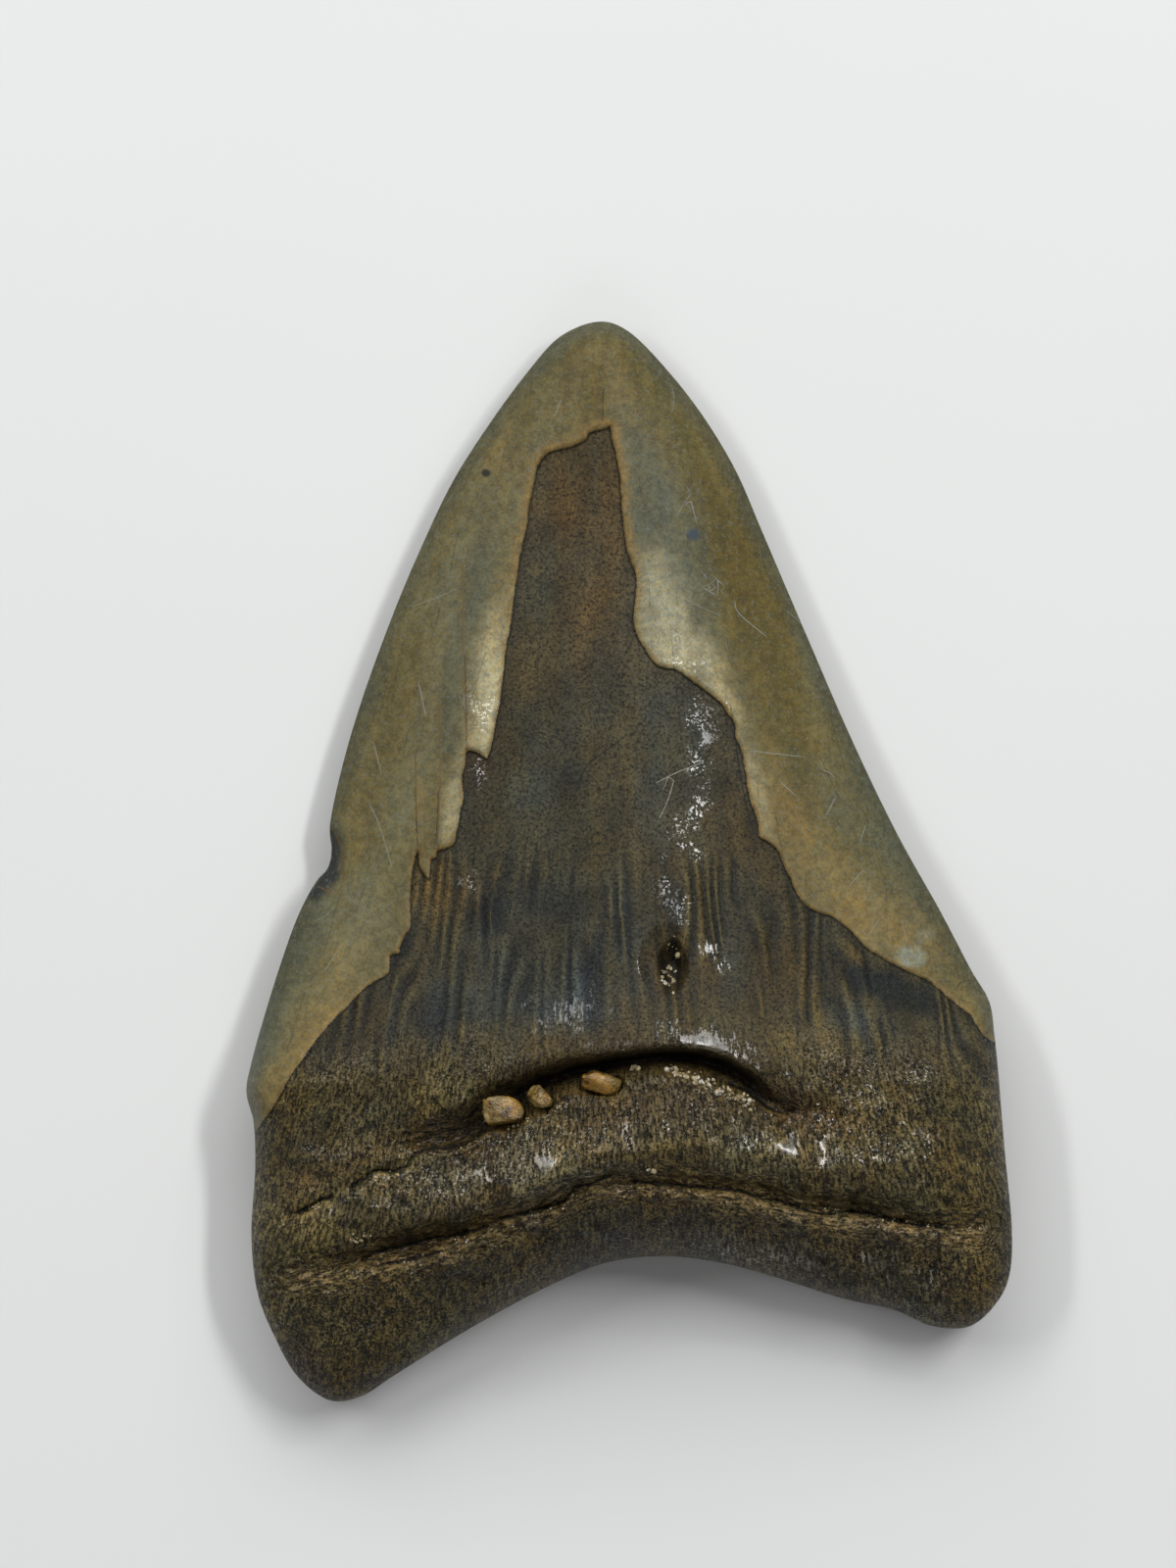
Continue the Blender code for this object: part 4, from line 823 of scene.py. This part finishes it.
def meshFrom(name, corners, faces, layers=None):
    mesh = bpy.data.meshes.new(name)
    mesh.from_pydata((corners * mm).tolist(), [], faces.tolist())
    for layer, values in (layers or {}).items():
        if values.ndim == 1:
            mesh.attributes.new(layer, "FLOAT", "POINT").data.foreach_set("value", values.astype(np.float32))
        else:
            triples = values.astype(np.float32).ravel()
            mesh.attributes.new(layer, "FLOAT_VECTOR", "POINT").data.foreach_set("vector", triples)
    piece = bpy.data.objects.new(name, mesh)
    bpy.context.collection.objects.link(piece)
    return piece


def weldRim(piece):
    shape = bmesh.new()
    shape.from_mesh(piece.data)
    bmesh.ops.remove_doubles(shape, verts=shape.verts, dist=1e-7)
    shape.to_mesh(piece.data)
    shape.free()
    piece.data.shade_smooth()


print("tooth: measuring and triangulating")
toothCorners, toothFaces, toothLayers = buildTooth()
tooth = meshFrom("toothSurface", toothCorners, toothFaces, toothLayers)
weldRim(tooth)
print("tooth:", len(tooth.data.polygons), "triangles")


def addNode(tree, kind, settings, values):
    # values are linked where they are sockets, and set where they are not
    node = tree.nodes.new(kind)
    for key, setting in settings.items():
        setattr(node, key, setting)
    for key, value in values.items():
        if isinstance(value, bpy.types.NodeSocket):
            tree.links.new(value, node.inputs[key])
        else:
            node.inputs[key].default_value = value
    return node


class Wire:  # a socket that can be used in sums
    def __init__(self, paint, socket):
        self.paint, self.socket = paint, socket

    def maths(self, operation, *values):
        return self.paint.node("ShaderNodeMath", {"operation": operation}, dict(enumerate(values)))

    def __add__(self, other):
        return self.maths("ADD", self, other)

    __radd__ = __add__

    def __sub__(self, other):
        return self.maths("SUBTRACT", self, other)

    def __rsub__(self, other):
        return self.maths("SUBTRACT", other, self)

    def __mul__(self, other):
        return self.maths("MULTIPLY", self, other)

    def __truediv__(self, other):
        return self.maths("DIVIDE", self, other)

    def __pow__(self, other):
        return self.maths("POWER", self, other)

    def __abs__(self):
        return self.maths("ABSOLUTE", self)


class Paint:  # the nodes of one material
    def __init__(self, name, roughness=0.5, specular=0.5):
        self.material = bpy.data.materials.new(name)
        self.material.use_nodes = True
        self.tree = self.material.node_tree
        self.shader = self.tree.nodes["Principled BSDF"]
        self.shader.inputs["Roughness"].default_value = roughness
        self.shader.inputs["Specular IOR Level"].default_value = specular
        place = self.node("ShaderNodeTexCoord", {}, {}, out="Object")
        self.place = self.vector("SCALE", place, {"Scale": 1 / mm})  # object coordinates in millimetres
        self.x, self.y, _ = self.parts(self.place)

    def node(self, kind, settings, values, out=0):
        plugs = {key: value.socket if isinstance(value, Wire) else value for key, value in values.items()}
        return Wire(self, addNode(self.tree, kind, settings, plugs).outputs[out])

    def vector(self, operation, first, others):
        return self.node("ShaderNodeVectorMath", {"operation": operation}, {0: first, **others})

    def parts(self, vector):
        split = self.node("ShaderNodeSeparateXYZ", {}, {0: vector})
        return [Wire(self, split.socket.node.outputs[i]) for i in range(3)]

    def joined(self, x, y):
        return self.node("ShaderNodeCombineXYZ", {}, {0: x, 1: y})

    def attribute(self, name, out="Fac"):
        return self.node("ShaderNodeAttribute", {"attribute_name": name}, {}, out)

    def step(self, low, high, value):
        # 0 at low and 1 at high, with a smooth change between
        names = {"Value": value, "From Min": low, "From Max": high}
        return self.node("ShaderNodeMapRange", {"interpolation_type": "SMOOTHSTEP"}, names)

    def noise(self, place, scale, detail=2.0, roughness=0.5, out=0):
        values = {"Vector": place, "Scale": scale, "Detail": detail, "Roughness": roughness}
        return self.node("ShaderNodeTexNoise", {}, values, out)

    def noises(self, place, scale, detail=2.0, roughness=0.5):
        # three unlike noises from one node
        return self.parts(self.noise(place, scale, detail, roughness, out="Color"))

    def crumbs(self, place, scale, size, share):
        # round spots in some of the cells of a scattered grid
        cell = self.node("ShaderNodeTexVoronoi", {}, {"Vector": place, "Scale": scale})
        colour = Wire(self, cell.socket.node.outputs["Color"])
        chosen = self.step(share, share * 0.9, self.parts(colour)[0])
        return chosen * self.step(size, size * 0.5, cell)

    def mix(self, factor, first, second, blend="MIX"):
        pads = [(*colour, 1) if isinstance(colour, tuple) else colour for colour in (first, second)]
        values = {"Factor": factor, 6: pads[0], 7: pads[1]}
        return self.node("ShaderNodeMix", {"data_type": "RGBA", "blend_type": blend}, values, out=2)

    def larger(self, first, second):
        return self.node("ShaderNodeMath", {"operation": "MAXIMUM"}, {0: first, 1: second})

    def scaled(self, colour, factor):
        # a colour made lighter or darker
        return self.vector("SCALE", colour, {"Scale": factor})

    def tinted(self, share, colour, tint):
        # a colour that is multiplied by a tint where share is 1
        return self.mix(share, colour, self.mix(1.0, colour, tint, "MULTIPLY"))

    def spot(self, x, y, across, along, wobble, soft=0.4):
        u, v = (self.x - x) / across, (self.y - y) / along
        return 1 - self.step(1 - soft, 1 + soft, (u * u + v * v) ** 0.5 + wobble)

    def plug(self, wire, name):
        self.tree.links.new(wire.socket, self.shader.inputs[name])

    def finish(self, colour, roughness=None, height=None):
        # height is in millimetres
        self.plug(colour, "Base Color")
        if roughness is not None:
            self.plug(roughness, "Roughness")
        if height is not None:
            bump = self.node("ShaderNodeBump", {}, {"Height": height, "Strength": 1.0, "Distance": mm})
            self.plug(bump, "Normal")
        return self.material


finish = {"enamelRoughness": (0.50, 0.30), "bareRoughness": (0.60, 0.38), "rootRoughness": (0.50, 0.27),
          "enamelDepth": 0.007, "bareDepth": 0.022, "rootDepth": 0.10, "ribHeight": 0.07,
          "glazeRoughness": 0.26, "glazeIor": 1.8, "glaze": 0.85, "fibreStretch": 0.22,
          "lineHalfWidths": (0.075, 0.1, 0.05)}  # of the dark, the ochre and the pale lines
# Noises are (bumps per mm, detail, roughness).
grains = {"fibre": (5, 2, 0.6), "grain": (4.6, 1.5, 0.7), "flecks": (3.4, 1, 0.7), "patch": (1.4, 3, 0.68)}
# Spots are (x, y, half width, half length).
spotPlaces = {"darkPit": (-11.5, 31.1, 0.35, 0.3), "blueSpot": (5.1, 26.2, 0.5, 0.45)}
# Colours that lie over the painted zones, and then tints that multiply them.
inks = {
    "greyFleck": (0.15, 0.175, 0.16), "enamelCrack": (0.034, 0.03, 0.016), "enamelVein": (0.13, 0.075, 0.022),
    "darkPit": (0.02, 0.02, 0.012), "blueSpot": (0.03, 0.05, 0.065), "enamelScratch": (0.26, 0.29, 0.28),
    "ochreSpeck": (0.2, 0.115, 0.035), "pore": (0.005, 0.005, 0.004), "bareVein": (0.15, 0.1, 0.036),
    "bareCrack": (0.008, 0.008, 0.006), "openCrack": (0.004, 0.0035, 0.003),
    "shadowUnderEnamel": (0.006, 0.005, 0.004), "bareScratch": (0.35, 0.33, 0.27), "sparkleGrain": (0.45, 0.42, 0.34),
}
tints = {"cool": (0.94, 1, 1.12), "warm": (1.06, 1, 0.86), "streak": (0.45, 0.62, 0.95),
         "ribTrough": (0.38, 0.56, 0.88), "ribCrest": (1.6, 1.45, 1.1), "clump": (0.22, 0.29, 0.38)}


def toothFinish():
    p = Paint("fossilTooth", specular=0.22)
    p.shader.inputs["Coat Roughness"].default_value = finish["glazeRoughness"]
    p.shader.inputs["Coat IOR"].default_value = finish["glazeIor"]
    gap, side, polish, inRoot, inLobe = (p.attribute(name) for name in
                                         ("enamelGap", "side", "polish", "inRoot", "inLobe"))
    coatTint, bareTint = p.attribute("coatTint", "Vector"), p.attribute("bareTint", "Vector")
    layered = p.node("ShaderNodeMath", {"operation": "GREATER_THAN"}, {0: p.attribute("layerShare"), 1: 0.55})
    fanX, fanY = p.attribute("fanX"), p.attribute("fanY")
    across = fanX + layered * (p.attribute("layerGap") * 1.2 - fanX)
    fibre = p.noise(p.joined(across, (fanY + layered * (p.x - fanY)) * finish["fibreStretch"]),
                    *grains["fibre"])
    grain = p.noise(p.place, *grains["grain"])
    rusty, hue, glint = p.noises(p.place, *grains["flecks"])
    patch = p.noise(p.place, *grains["patch"])
    onEnamel = p.step(-0.02, 0.04, gap + (grain - 0.5) * 0.12)
    wave = p.node("ShaderNodeMath", {"operation": "SINE"}, {0: p.attribute("ribWave") * math.tau})
    ribs = wave * p.attribute("ribShare")
    gaps = p.parts(p.attribute("lineGap", "Vector"))
    shares = p.parts(p.attribute("lineShare", "Vector"))
    dark, ochre, pale = (p.step(width, width * 0.4, abs(line + (fibre - 0.5) * 0.12)) * share
                         for line, share, width in zip(gaps, shares, finish["lineHalfWidths"]))
    wobble = (patch - 0.5) * 0.9
    ragged = p.attribute("crackGap") + (fibre - 0.5) * 0.3 + (patch - 0.5) * 0.7
    crackShare = p.attribute("crackShare")
    crack = p.step(0.17, 0.07, abs(ragged)) * crackShare
    ledge = p.step(-0.1, -0.3, ragged) * p.step(-0.9, -0.5, ragged) * crackShare * p.step(0.45, 0.6, patch)

    # enamel: clouds of blue and ochre, hair cracks, scratches, one dark pit and one blue spot
    coat = p.scaled(coatTint, 0.66 + p.step(0.34, 0.66, patch) * 0.38 + p.step(0.34, 0.66, grain) * 0.28)
    coat = p.mix(p.step(0.36, 0.64, hue), p.mix(1.0, coat, tints["cool"], "MULTIPLY"),
                 p.mix(1.0, coat, tints["warm"], "MULTIPLY"))
    coat = p.mix(p.step(0.60, 0.68, rusty) * 0.35, coat, inks["greyFleck"])
    coat = p.mix(dark * p.step(0.40, 0.5, fibre) * 0.85, coat, inks["enamelCrack"])
    coat = p.mix(ochre * p.step(0.30, 0.45, fibre) * 0.8, coat, inks["enamelVein"])
    coat = p.mix(p.spot(*spotPlaces["darkPit"], wobble) * side, coat, inks["darkPit"])
    coat = p.mix(p.spot(*spotPlaces["blueSpot"], wobble) * side * 0.9, coat, inks["blueSpot"])
    coat = p.mix(pale * 0.6, coat, inks["enamelScratch"])

    # bare dentine and root: grains, dark seams between fibres, ribs, ochre specks and black pores
    seams = p.step(0.34, 0.48, fibre)  # 0 between the fibres
    pits = p.step(0.39, 0.32, grain - inLobe * 0.05)
    light = p.step(0.31, 0.69, rusty * 0.3 + grain * 0.7)
    strokes = p.step(0.49, 0.60, fibre * 0.75 + grain * 0.25)
    woven = 1 - (1 - seams) * (0.10 + inRoot * 0.22)
    lower = p.step(-14.0, -20.0, p.y)
    rootGrain = inRoot * (0.13 - lower * 0.13 + strokes * (0.2 + lower * 0.45))
    flesh = 0.42 - inRoot * 0.09 + light * (1.15 - inRoot * 0.5) + rootGrain
    # the ribs make the bare surface lighter on their crests and darker in their troughs: painted light and
    # shade
    bare = p.scaled(bareTint, flesh * woven * (1 + ribs * 0.4))
    streaks = p.step(0.53, 0.62, hue * 0.5 + fibre * 0.5)
    bare = p.tinted(streaks * (0.55 - inRoot * 0.25), bare, tints["streak"])
    # bluer, darker troughs and lighter crests of the ribs: their own banding, with painted shade and light
    # over it
    bare = p.tinted(p.step(0.1, -0.6, ribs) * 0.62, bare, tints["ribTrough"])
    bare = p.tinted(p.step(0.45, 0.85, ribs) * 0.4, bare, tints["ribCrest"])
    clumps = p.step(0.52, 0.45, fibre * 0.6 + patch * 0.4)
    bare = p.tinted(clumps * inRoot * (0.4 + lower * 0.35), bare, tints["clump"])
    specks = p.step(0.035, 0.0, abs(rusty - 0.57)) * (0.35 + inRoot * 0.1 + inLobe * 0.35)
    bare = p.mix(specks * 0.75, bare, p.scaled(bareTint, 3.0))
    bare = p.mix(specks * 0.35, bare, inks["ochreSpeck"])
    bare = p.mix(pits * (0.45 - inRoot * 0.05 + inLobe * 0.3), bare, inks["pore"])
    crests = p.step(0.955, 0.995, wave + (fibre - 0.5) * 0.05) * p.attribute("ribCrests")
    bare = p.mix(p.larger(ochre, crests) * 0.45, bare, inks["bareVein"])
    bare = p.mix(dark * 0.8, bare, inks["bareCrack"])
    # painted highlight: the lip below each open crack is a lighter copy of the tint, for its lit edge and its
    # pale crumbs
    bare = p.mix(ledge * 0.5, bare, p.scaled(bareTint, 2.2))
    bare = p.mix(crack * 0.92, bare, inks["openCrack"])
    # painted shadow: a dark line on the dentine under the step of the enamel
    bare = p.mix(p.step(-0.30, -0.02, gap) * 0.65, bare, inks["shadowUnderEnamel"])
    bare = p.mix(p.step(0.6, 0.8, pale) * 0.7, bare, inks["bareScratch"])
    # pale spots on the root: painted glints, and partly its pale grains
    sparkleSpots = p.crumbs(p.place, 1.3, 0.12, 0.10) * inRoot
    bare = p.mix(sparkleSpots * 0.8, bare, inks["sparkleGrain"])

    colour = p.mix(onEnamel, bare, coat)
    rough = {name: finish[name][0] + polish * (finish[name][1] - finish[name][0])
             for name in ("enamelRoughness", "bareRoughness", "rootRoughness")}
    bareRough = rough["bareRoughness"] + inRoot * (rough["rootRoughness"] - rough["bareRoughness"])
    roughness = bareRough + onEnamel * (rough["enamelRoughness"] - bareRough)
    depth = finish["bareDepth"] + inRoot * (finish["rootDepth"] - finish["bareDepth"])
    depth = depth + onEnamel * (finish["enamelDepth"] - depth)
    weave = seams * (0.15 + inRoot * 0.85) + grain * (0.9 + inLobe * 0.9) - pits * 0.8
    height = weave * depth + ribs * finish["ribHeight"]
    spatter = glint * 0.35 + grain * 0.4 + patch * 0.25
    stroke = spatter + p.step(-2.0, -6.0, p.y) * (fibre * 0.7 + grain * 0.3 - spatter)
    worn = p.step(0.56 - p.step(0.6, 1.0, polish) * 0.2, 0.62, stroke + polish * 0.1)
    dew = p.step(0.57, 0.66, grain) * inRoot * (0.2 + lower * 0.45)
    glazed = p.larger(p.step(0.06, 0.30, polish) * worn, dew)
    p.plug(glazed * finish["glaze"], "Coat Weight")
    return p.finish(colour, roughness, height)


tooth.data.materials.append(toothFinish())
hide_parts("tooth")
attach(tooth, "root")

# The pebbles that are lodged in the furrow are balls cut by random planes.
stone = {"planes": 11, "cut": (0.52, 0.86), "corner": 110, "lumps": 0.06, "subdivisions": 4,
         "amber": (0.3, 0.155, 0.022), "tan": (0.17, 0.115, 0.032), "stain": (0.03, 0.014, 0.003),
         "pale": (0.46, 0.33, 0.13), "speck": (0.05, 0.028, 0.008),
         "glow": 0.15, "glowReach": (1, 0.5, 0.15), "glowScale": 0.5}


def unitBall(subdivisions):
    shape = bmesh.new()
    bmesh.ops.create_icosphere(shape, subdivisions=subdivisions, radius=1)
    corners = np.array([corner.co for corner in shape.verts])
    faces = np.array([[corner.index for corner in face.verts] for face in shape.faces])
    shape.free()
    return corners, faces


def makePebble(node, pebble):
    rng = np.random.default_rng(pebble["seed"])
    ball, faces = unitBall(stone["subdivisions"])
    planes = rng.normal(size=(stone["planes"], 3))
    planes /= np.linalg.norm(planes, axis=1)[:, None]
    cuts = rng.uniform(*stone["cut"], stone["planes"])
    facing = np.clip(ball @ planes.T, 0, None) / cuts
    reach = (1 + (facing ** stone["corner"]).sum(axis=1)) ** (-1 / stone["corner"])
    lumps = cloud(ball[:, 0] + 3 * ball[:, 2], ball[:, 1], 0.4, pebble["seed"])
    reach = reach / reach.max() * (1 - stone["lumps"] * (0.5 + 0.5 * lumps))
    corners = ball * reach[:, None]
    corners *= np.array(pebble["radii"]) / np.abs(corners).max(axis=0)
    x, y = turnedInto(corners[:, 0], corners[:, 1], -pebble["turn"])
    corners = np.column_stack([x, y, corners[:, 2]]) + pebble["centre"]
    piece = meshFrom(node.replace("pebble_", "sandstone_"), corners, faces)
    piece.data.shade_smooth()
    piece.data.materials.append(pebbleSkin)
    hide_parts(node)
    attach(piece, "root")


def pebbleFinish():
    p = Paint("amberPebble", 0.2, 0.6)
    p.shader.inputs["Subsurface Weight"].default_value = stone["glow"]
    p.shader.inputs["Subsurface Radius"].default_value = stone["glowReach"]
    p.shader.inputs["Subsurface Scale"].default_value = stone["glowScale"] * mm
    patch, hue, stain = p.noises(p.place, 0.9, 3.0, 0.6)
    grain = p.noise(p.place, 5.0, 2.0, 0.6)
    colour = p.mix(p.step(0.40, 0.60, patch), stone["amber"], stone["tan"])
    colour = p.mix(p.step(0.50, 0.62, stain) * 0.85, colour, stone["stain"])
    colour = p.mix(p.step(0.54, 0.64, hue) * 0.6, colour, stone["pale"])
    colour = p.mix(p.step(0.44, 0.34, grain) * 0.5, colour, stone["speck"])
    return p.finish(colour, 0.12 + hue * 0.3, (grain - 0.5) * 0.10 + (stain - 0.5) * 0.25)


pebbleSkin = pebbleFinish()
for nodeName, pebbleSizes in pebbles.items():
    makePebble(nodeName, pebbleSizes)
print("pebbles: three in the furrow")

# Sand in the furrow and the pockets, scattered by Geometry Nodes.
# Each bed is (x, y, half length, half width, turn in degrees, grains, size of a grain).
sand = {
    "beds": [
        (4.6, -17.2, 1.8, 0.6, -22, 26, 0.5), (7.9, -18.4, 2.1, 0.55, -25, 36, 0.42),
        (5.5, -17.4, 3, 0.6, -25, 26, 0.2), (0.3, -16.5, 0.7, 0.15, 10, 3, 0.8),
        (-8.9, -21, 1.1, 0.25, 25, 14, 0.24), (-6.2, -19.8, 1.2, 0.35, 32, 18, 0.16),
        (-12.4, -22.4, 1.4, 0.15, 25, 10, 0.16), (-19.4, -25.1, 1, 0.25, 8, 22, 0.26),
        (-25.1, -27.6, 0.6, 0.25, 20, 10, 0.24), (-21.6, -30.1, 1, 0.35, 12, 14, 0.26),
        (-17.3, -32, 0.8, 0.3, 0, 6, 0.22), (-13.4, -30.2, 0.6, 0.3, 10, 8, 0.26),
        (1.7, -24.4, 0.35, 0.25, 0, 3, 0.42), (-5, -27, 2, 0.4, 25, 12, 0.18),
        (3.1, -9.2, 0.7, 1.3, 0, 26, 0.36), (3.8, -7.6, 0.1, 0.1, 0, 1, 0.6),
        (3.3, -6.8, 0.5, 0.5, 0, 6, 0.2), (15.5, -19.8, 2, 0.7, -15, 14, 0.14),
        (22, -28.9, 3.5, 0.3, -8, 18, 0.18), (14, -27.6, 3, 0.4, -14, 14, 0.16),
    ],
    "seed": 21, "smallest": 0.5, "largest": 1.4, "sunk": 0.25, "flatness": 0.6,
    "flattest": (0.75, 0.6, 0.55), "fullest": (1.3, 1, 0.9),
    "cream": (0.5, 0.42, 0.25), "tan": (0.27, 0.2, 0.1), "white": (0.62, 0.6, 0.52),
    "dirt": (0.1, 0.075, 0.04),
}


def groundAt(points):
    return frontHeight(points, fieldsAt(points, edgeFront))


def sandGuide():
    rng = np.random.default_rng(sand["seed"])
    spots, sizes = [], []
    for x, y, along, across, turn, count, size in sand["beds"]:
        u = rng.uniform(-1, 1, count) * along
        v = rng.normal(0, 0.5, count) * across
        spots.append(np.column_stack(turnedInto(u, v, -turn)) + (x, y))
        sizes.append(size * rng.uniform(sand["smallest"], sand["largest"], count))
    spots, sizes = np.vstack(spots), np.concatenate(sizes)
    height = groundAt(spots) + sizes * (0.5 - sand["sunk"]) * sand["flatness"]
    corners = np.column_stack([spots * planFit, height])
    return meshFrom("furrowSand", corners, np.zeros((0, 3), int), {"grain": sizes})


def sandTree(skin):
    tree = bpy.data.node_groups.new("sandOnPoints", "GeometryNodeTree")
    tree.interface.new_socket("Points", in_out="INPUT", socket_type="NodeSocketGeometry")
    for name, kind, value in (("Grain scale", "NodeSocketFloat", 1.0), ("Seed", "NodeSocketInt", 4)):
        tree.interface.new_socket(name, in_out="INPUT", socket_type=kind).default_value = value
    tree.interface.new_socket("Sand", in_out="OUTPUT", socket_type="NodeSocketGeometry")

    def node(kind, settings, values):
        return addNode(tree, kind, settings, values)

    entry = node("NodeGroupInput", {}, {})
    # a ball 1 mm across, which the size of each grain scales
    ball = node("GeometryNodeMeshIcoSphere", {}, {"Radius": 0.5 * mm, "Subdivisions": 1})
    wide = node("GeometryNodeInputNamedAttribute", {"data_type": "FLOAT"}, {"Name": "grain"})
    turn = node("FunctionNodeRandomValue", {"data_type": "FLOAT_VECTOR"},
                {"Max": (math.tau, math.tau, math.tau), "Seed": entry.outputs["Seed"]})
    stretch = node("FunctionNodeRandomValue", {"data_type": "FLOAT_VECTOR"},
                   {"Min": sand["flattest"], "Max": sand["fullest"], "Seed": entry.outputs["Seed"]})
    size = node("ShaderNodeMath", {"operation": "MULTIPLY"},
                {0: wide.outputs[0], 1: entry.outputs["Grain scale"]})
    scale = node("ShaderNodeVectorMath", {"operation": "SCALE"},
                 {0: stretch.outputs["Value"], "Scale": size.outputs[0]})
    scattered = node("GeometryNodeInstanceOnPoints", {}, {
        "Points": entry.outputs["Points"], "Instance": ball.outputs["Mesh"],
        "Rotation": turn.outputs["Value"], "Scale": scale.outputs["Vector"]})
    solid = node("GeometryNodeRealizeInstances", {}, {"Geometry": scattered.outputs["Instances"]})
    painted = node("GeometryNodeSetMaterial", {}, {"Geometry": solid.outputs["Geometry"], "Material": skin})
    node("NodeGroupOutput", {}, {0: painted.outputs["Geometry"]})
    return tree


def sandFinish():
    p = Paint("paleSand", 0.35)
    tone, hue, dirt = p.noises(p.place, 1.6, 1.0, 0.5)
    grain = p.noise(p.place, 6.0, 2.0, 0.6)
    colour = p.mix(p.step(0.40, 0.60, tone), sand["cream"], sand["tan"])
    colour = p.mix(p.step(0.55, 0.62, hue) * 0.8, colour, sand["white"])
    colour = p.mix(p.step(0.50, 0.60, dirt) * 0.7, colour, sand["dirt"])
    return p.finish(p.scaled(colour, 0.7 + grain * 0.6), 0.30 + hue * 0.2, (grain - 0.5) * 0.05)


def makeSand():
    guide = sandGuide()
    growth = guide.modifiers.new("sand", "NODES")
    growth.node_group = sandTree(sandFinish())
    sockets = {socket.name: socket.identifier for socket in growth.node_group.interface.items_tree
               if socket.in_out == "INPUT"}
    growth[sockets["Grain scale"]] = 1.0
    growth[sockets["Seed"]] = sand["seed"]
    shape = bpy.data.meshes.new_from_object(guide.evaluated_get(bpy.context.evaluated_depsgraph_get()))
    guide.modifiers.clear()
    guide.data = shape
    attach(guide, "root")
    print("sand:", len(shape.polygons), "faces")


makeSand()

# Floor, lights and camera.
studio = {"floorSize": 3.0, "floorTone": (0.80, 0.81, 0.80), "cameraHeight": 0.9, "pixelsPerMm": 12.7,
          "imageSize": (1200, 1600), "toothCentre": (642.5, 878.0), "roomLight": 0.15, "sensorHeight": 36,
          "rimPlane": 4 * mm, "roomTone": (0.96, 0.98, 1, 1), "floorShade": 0.975, "nearest": 0.01}
# Each light is (angle to the right, angle towards the tip, distance, width, length, power).
lights = {
    "rightWindow": (30, 24, 0.95, 0.08, 0.40, 3.4),
    "leftWindow": (-38, 24, 0.95, 0.08, 0.40, 2),
    "rootWindow": (0, -50, 0.95, 0.50, 0.22, 0.5),
    "tipCard": (-4, 50, 0.95, 1.30, 0.50, 6.2),
}


def makeFloor():
    half = studio["floorSize"] / 2 / mm
    corners = np.array([(-half, -half, 0), (half, -half, 0), (half, half, 0), (-half, half, 0)])
    floor = meshFrom("floor", corners, np.array([[0, 1, 2, 3]]))
    p = Paint("paleCard", 0.7, 0.2)
    tone = studio["floorTone"]
    card = p.mix(p.noise(p.place, 0.02, 2.0), tone, tuple(studio["floorShade"] * part for part in tone))
    floor.data.materials.append(p.finish(card))


def makeLight(name, toRight, toTip, distance, width, length, power):
    light = bpy.data.lights.new(name, "AREA")
    light.shape = "RECTANGLE"
    light.size, light.size_y = width, length
    light.energy = power
    lamp = bpy.data.objects.new(name, light)
    towards = np.array([math.tan(math.radians(toRight)), math.tan(math.radians(toTip)), 1.0])
    towards /= np.linalg.norm(towards)
    lamp.location = towards * distance
    lamp.rotation_mode = "QUATERNION"
    alongTooth = np.array([0, 1, 0]) - towards * towards[1]  # the length of a light runs with the tooth's
    alongTooth /= np.linalg.norm(alongTooth)
    axes = (np.cross(alongTooth, towards), alongTooth, towards)
    lamp.rotation_quaternion = Matrix(axes).transposed().to_quaternion()
    bpy.context.collection.objects.link(lamp)


makeFloor()
for lightName, lightSizes in lights.items():
    makeLight(lightName, *lightSizes)
world = bpy.data.worlds.new("room")
world.use_nodes = True
world.node_tree.nodes["Background"].inputs["Color"].default_value = studio["roomTone"]
world.node_tree.nodes["Background"].inputs["Strength"].default_value = studio["roomLight"]
bpy.context.scene.world = world
bpy.context.scene.view_settings.view_transform = "Standard"

camera = bpy.data.objects.new("camera", bpy.data.cameras.new("camera"))
frameHeight = studio["imageSize"][1] / studio["pixelsPerMm"] * mm
centreX = (studio["imageSize"][0] / 2 - studio["toothCentre"][0]) / studio["pixelsPerMm"] * mm
centreY = (studio["toothCentre"][1] - studio["imageSize"][1] / 2) / studio["pixelsPerMm"] * mm
camera.location = (centreX, centreY, studio["rimPlane"] + studio["cameraHeight"])
camera.data.sensor_fit = "VERTICAL"
camera.data.sensor_height = studio["sensorHeight"]
camera.data.lens = studio["sensorHeight"] * studio["cameraHeight"] / frameHeight
camera.data.clip_start = studio["nearest"]
bpy.context.collection.objects.link(camera)
bpy.context.scene.camera = camera
print("scene: floor, lights and camera are in")
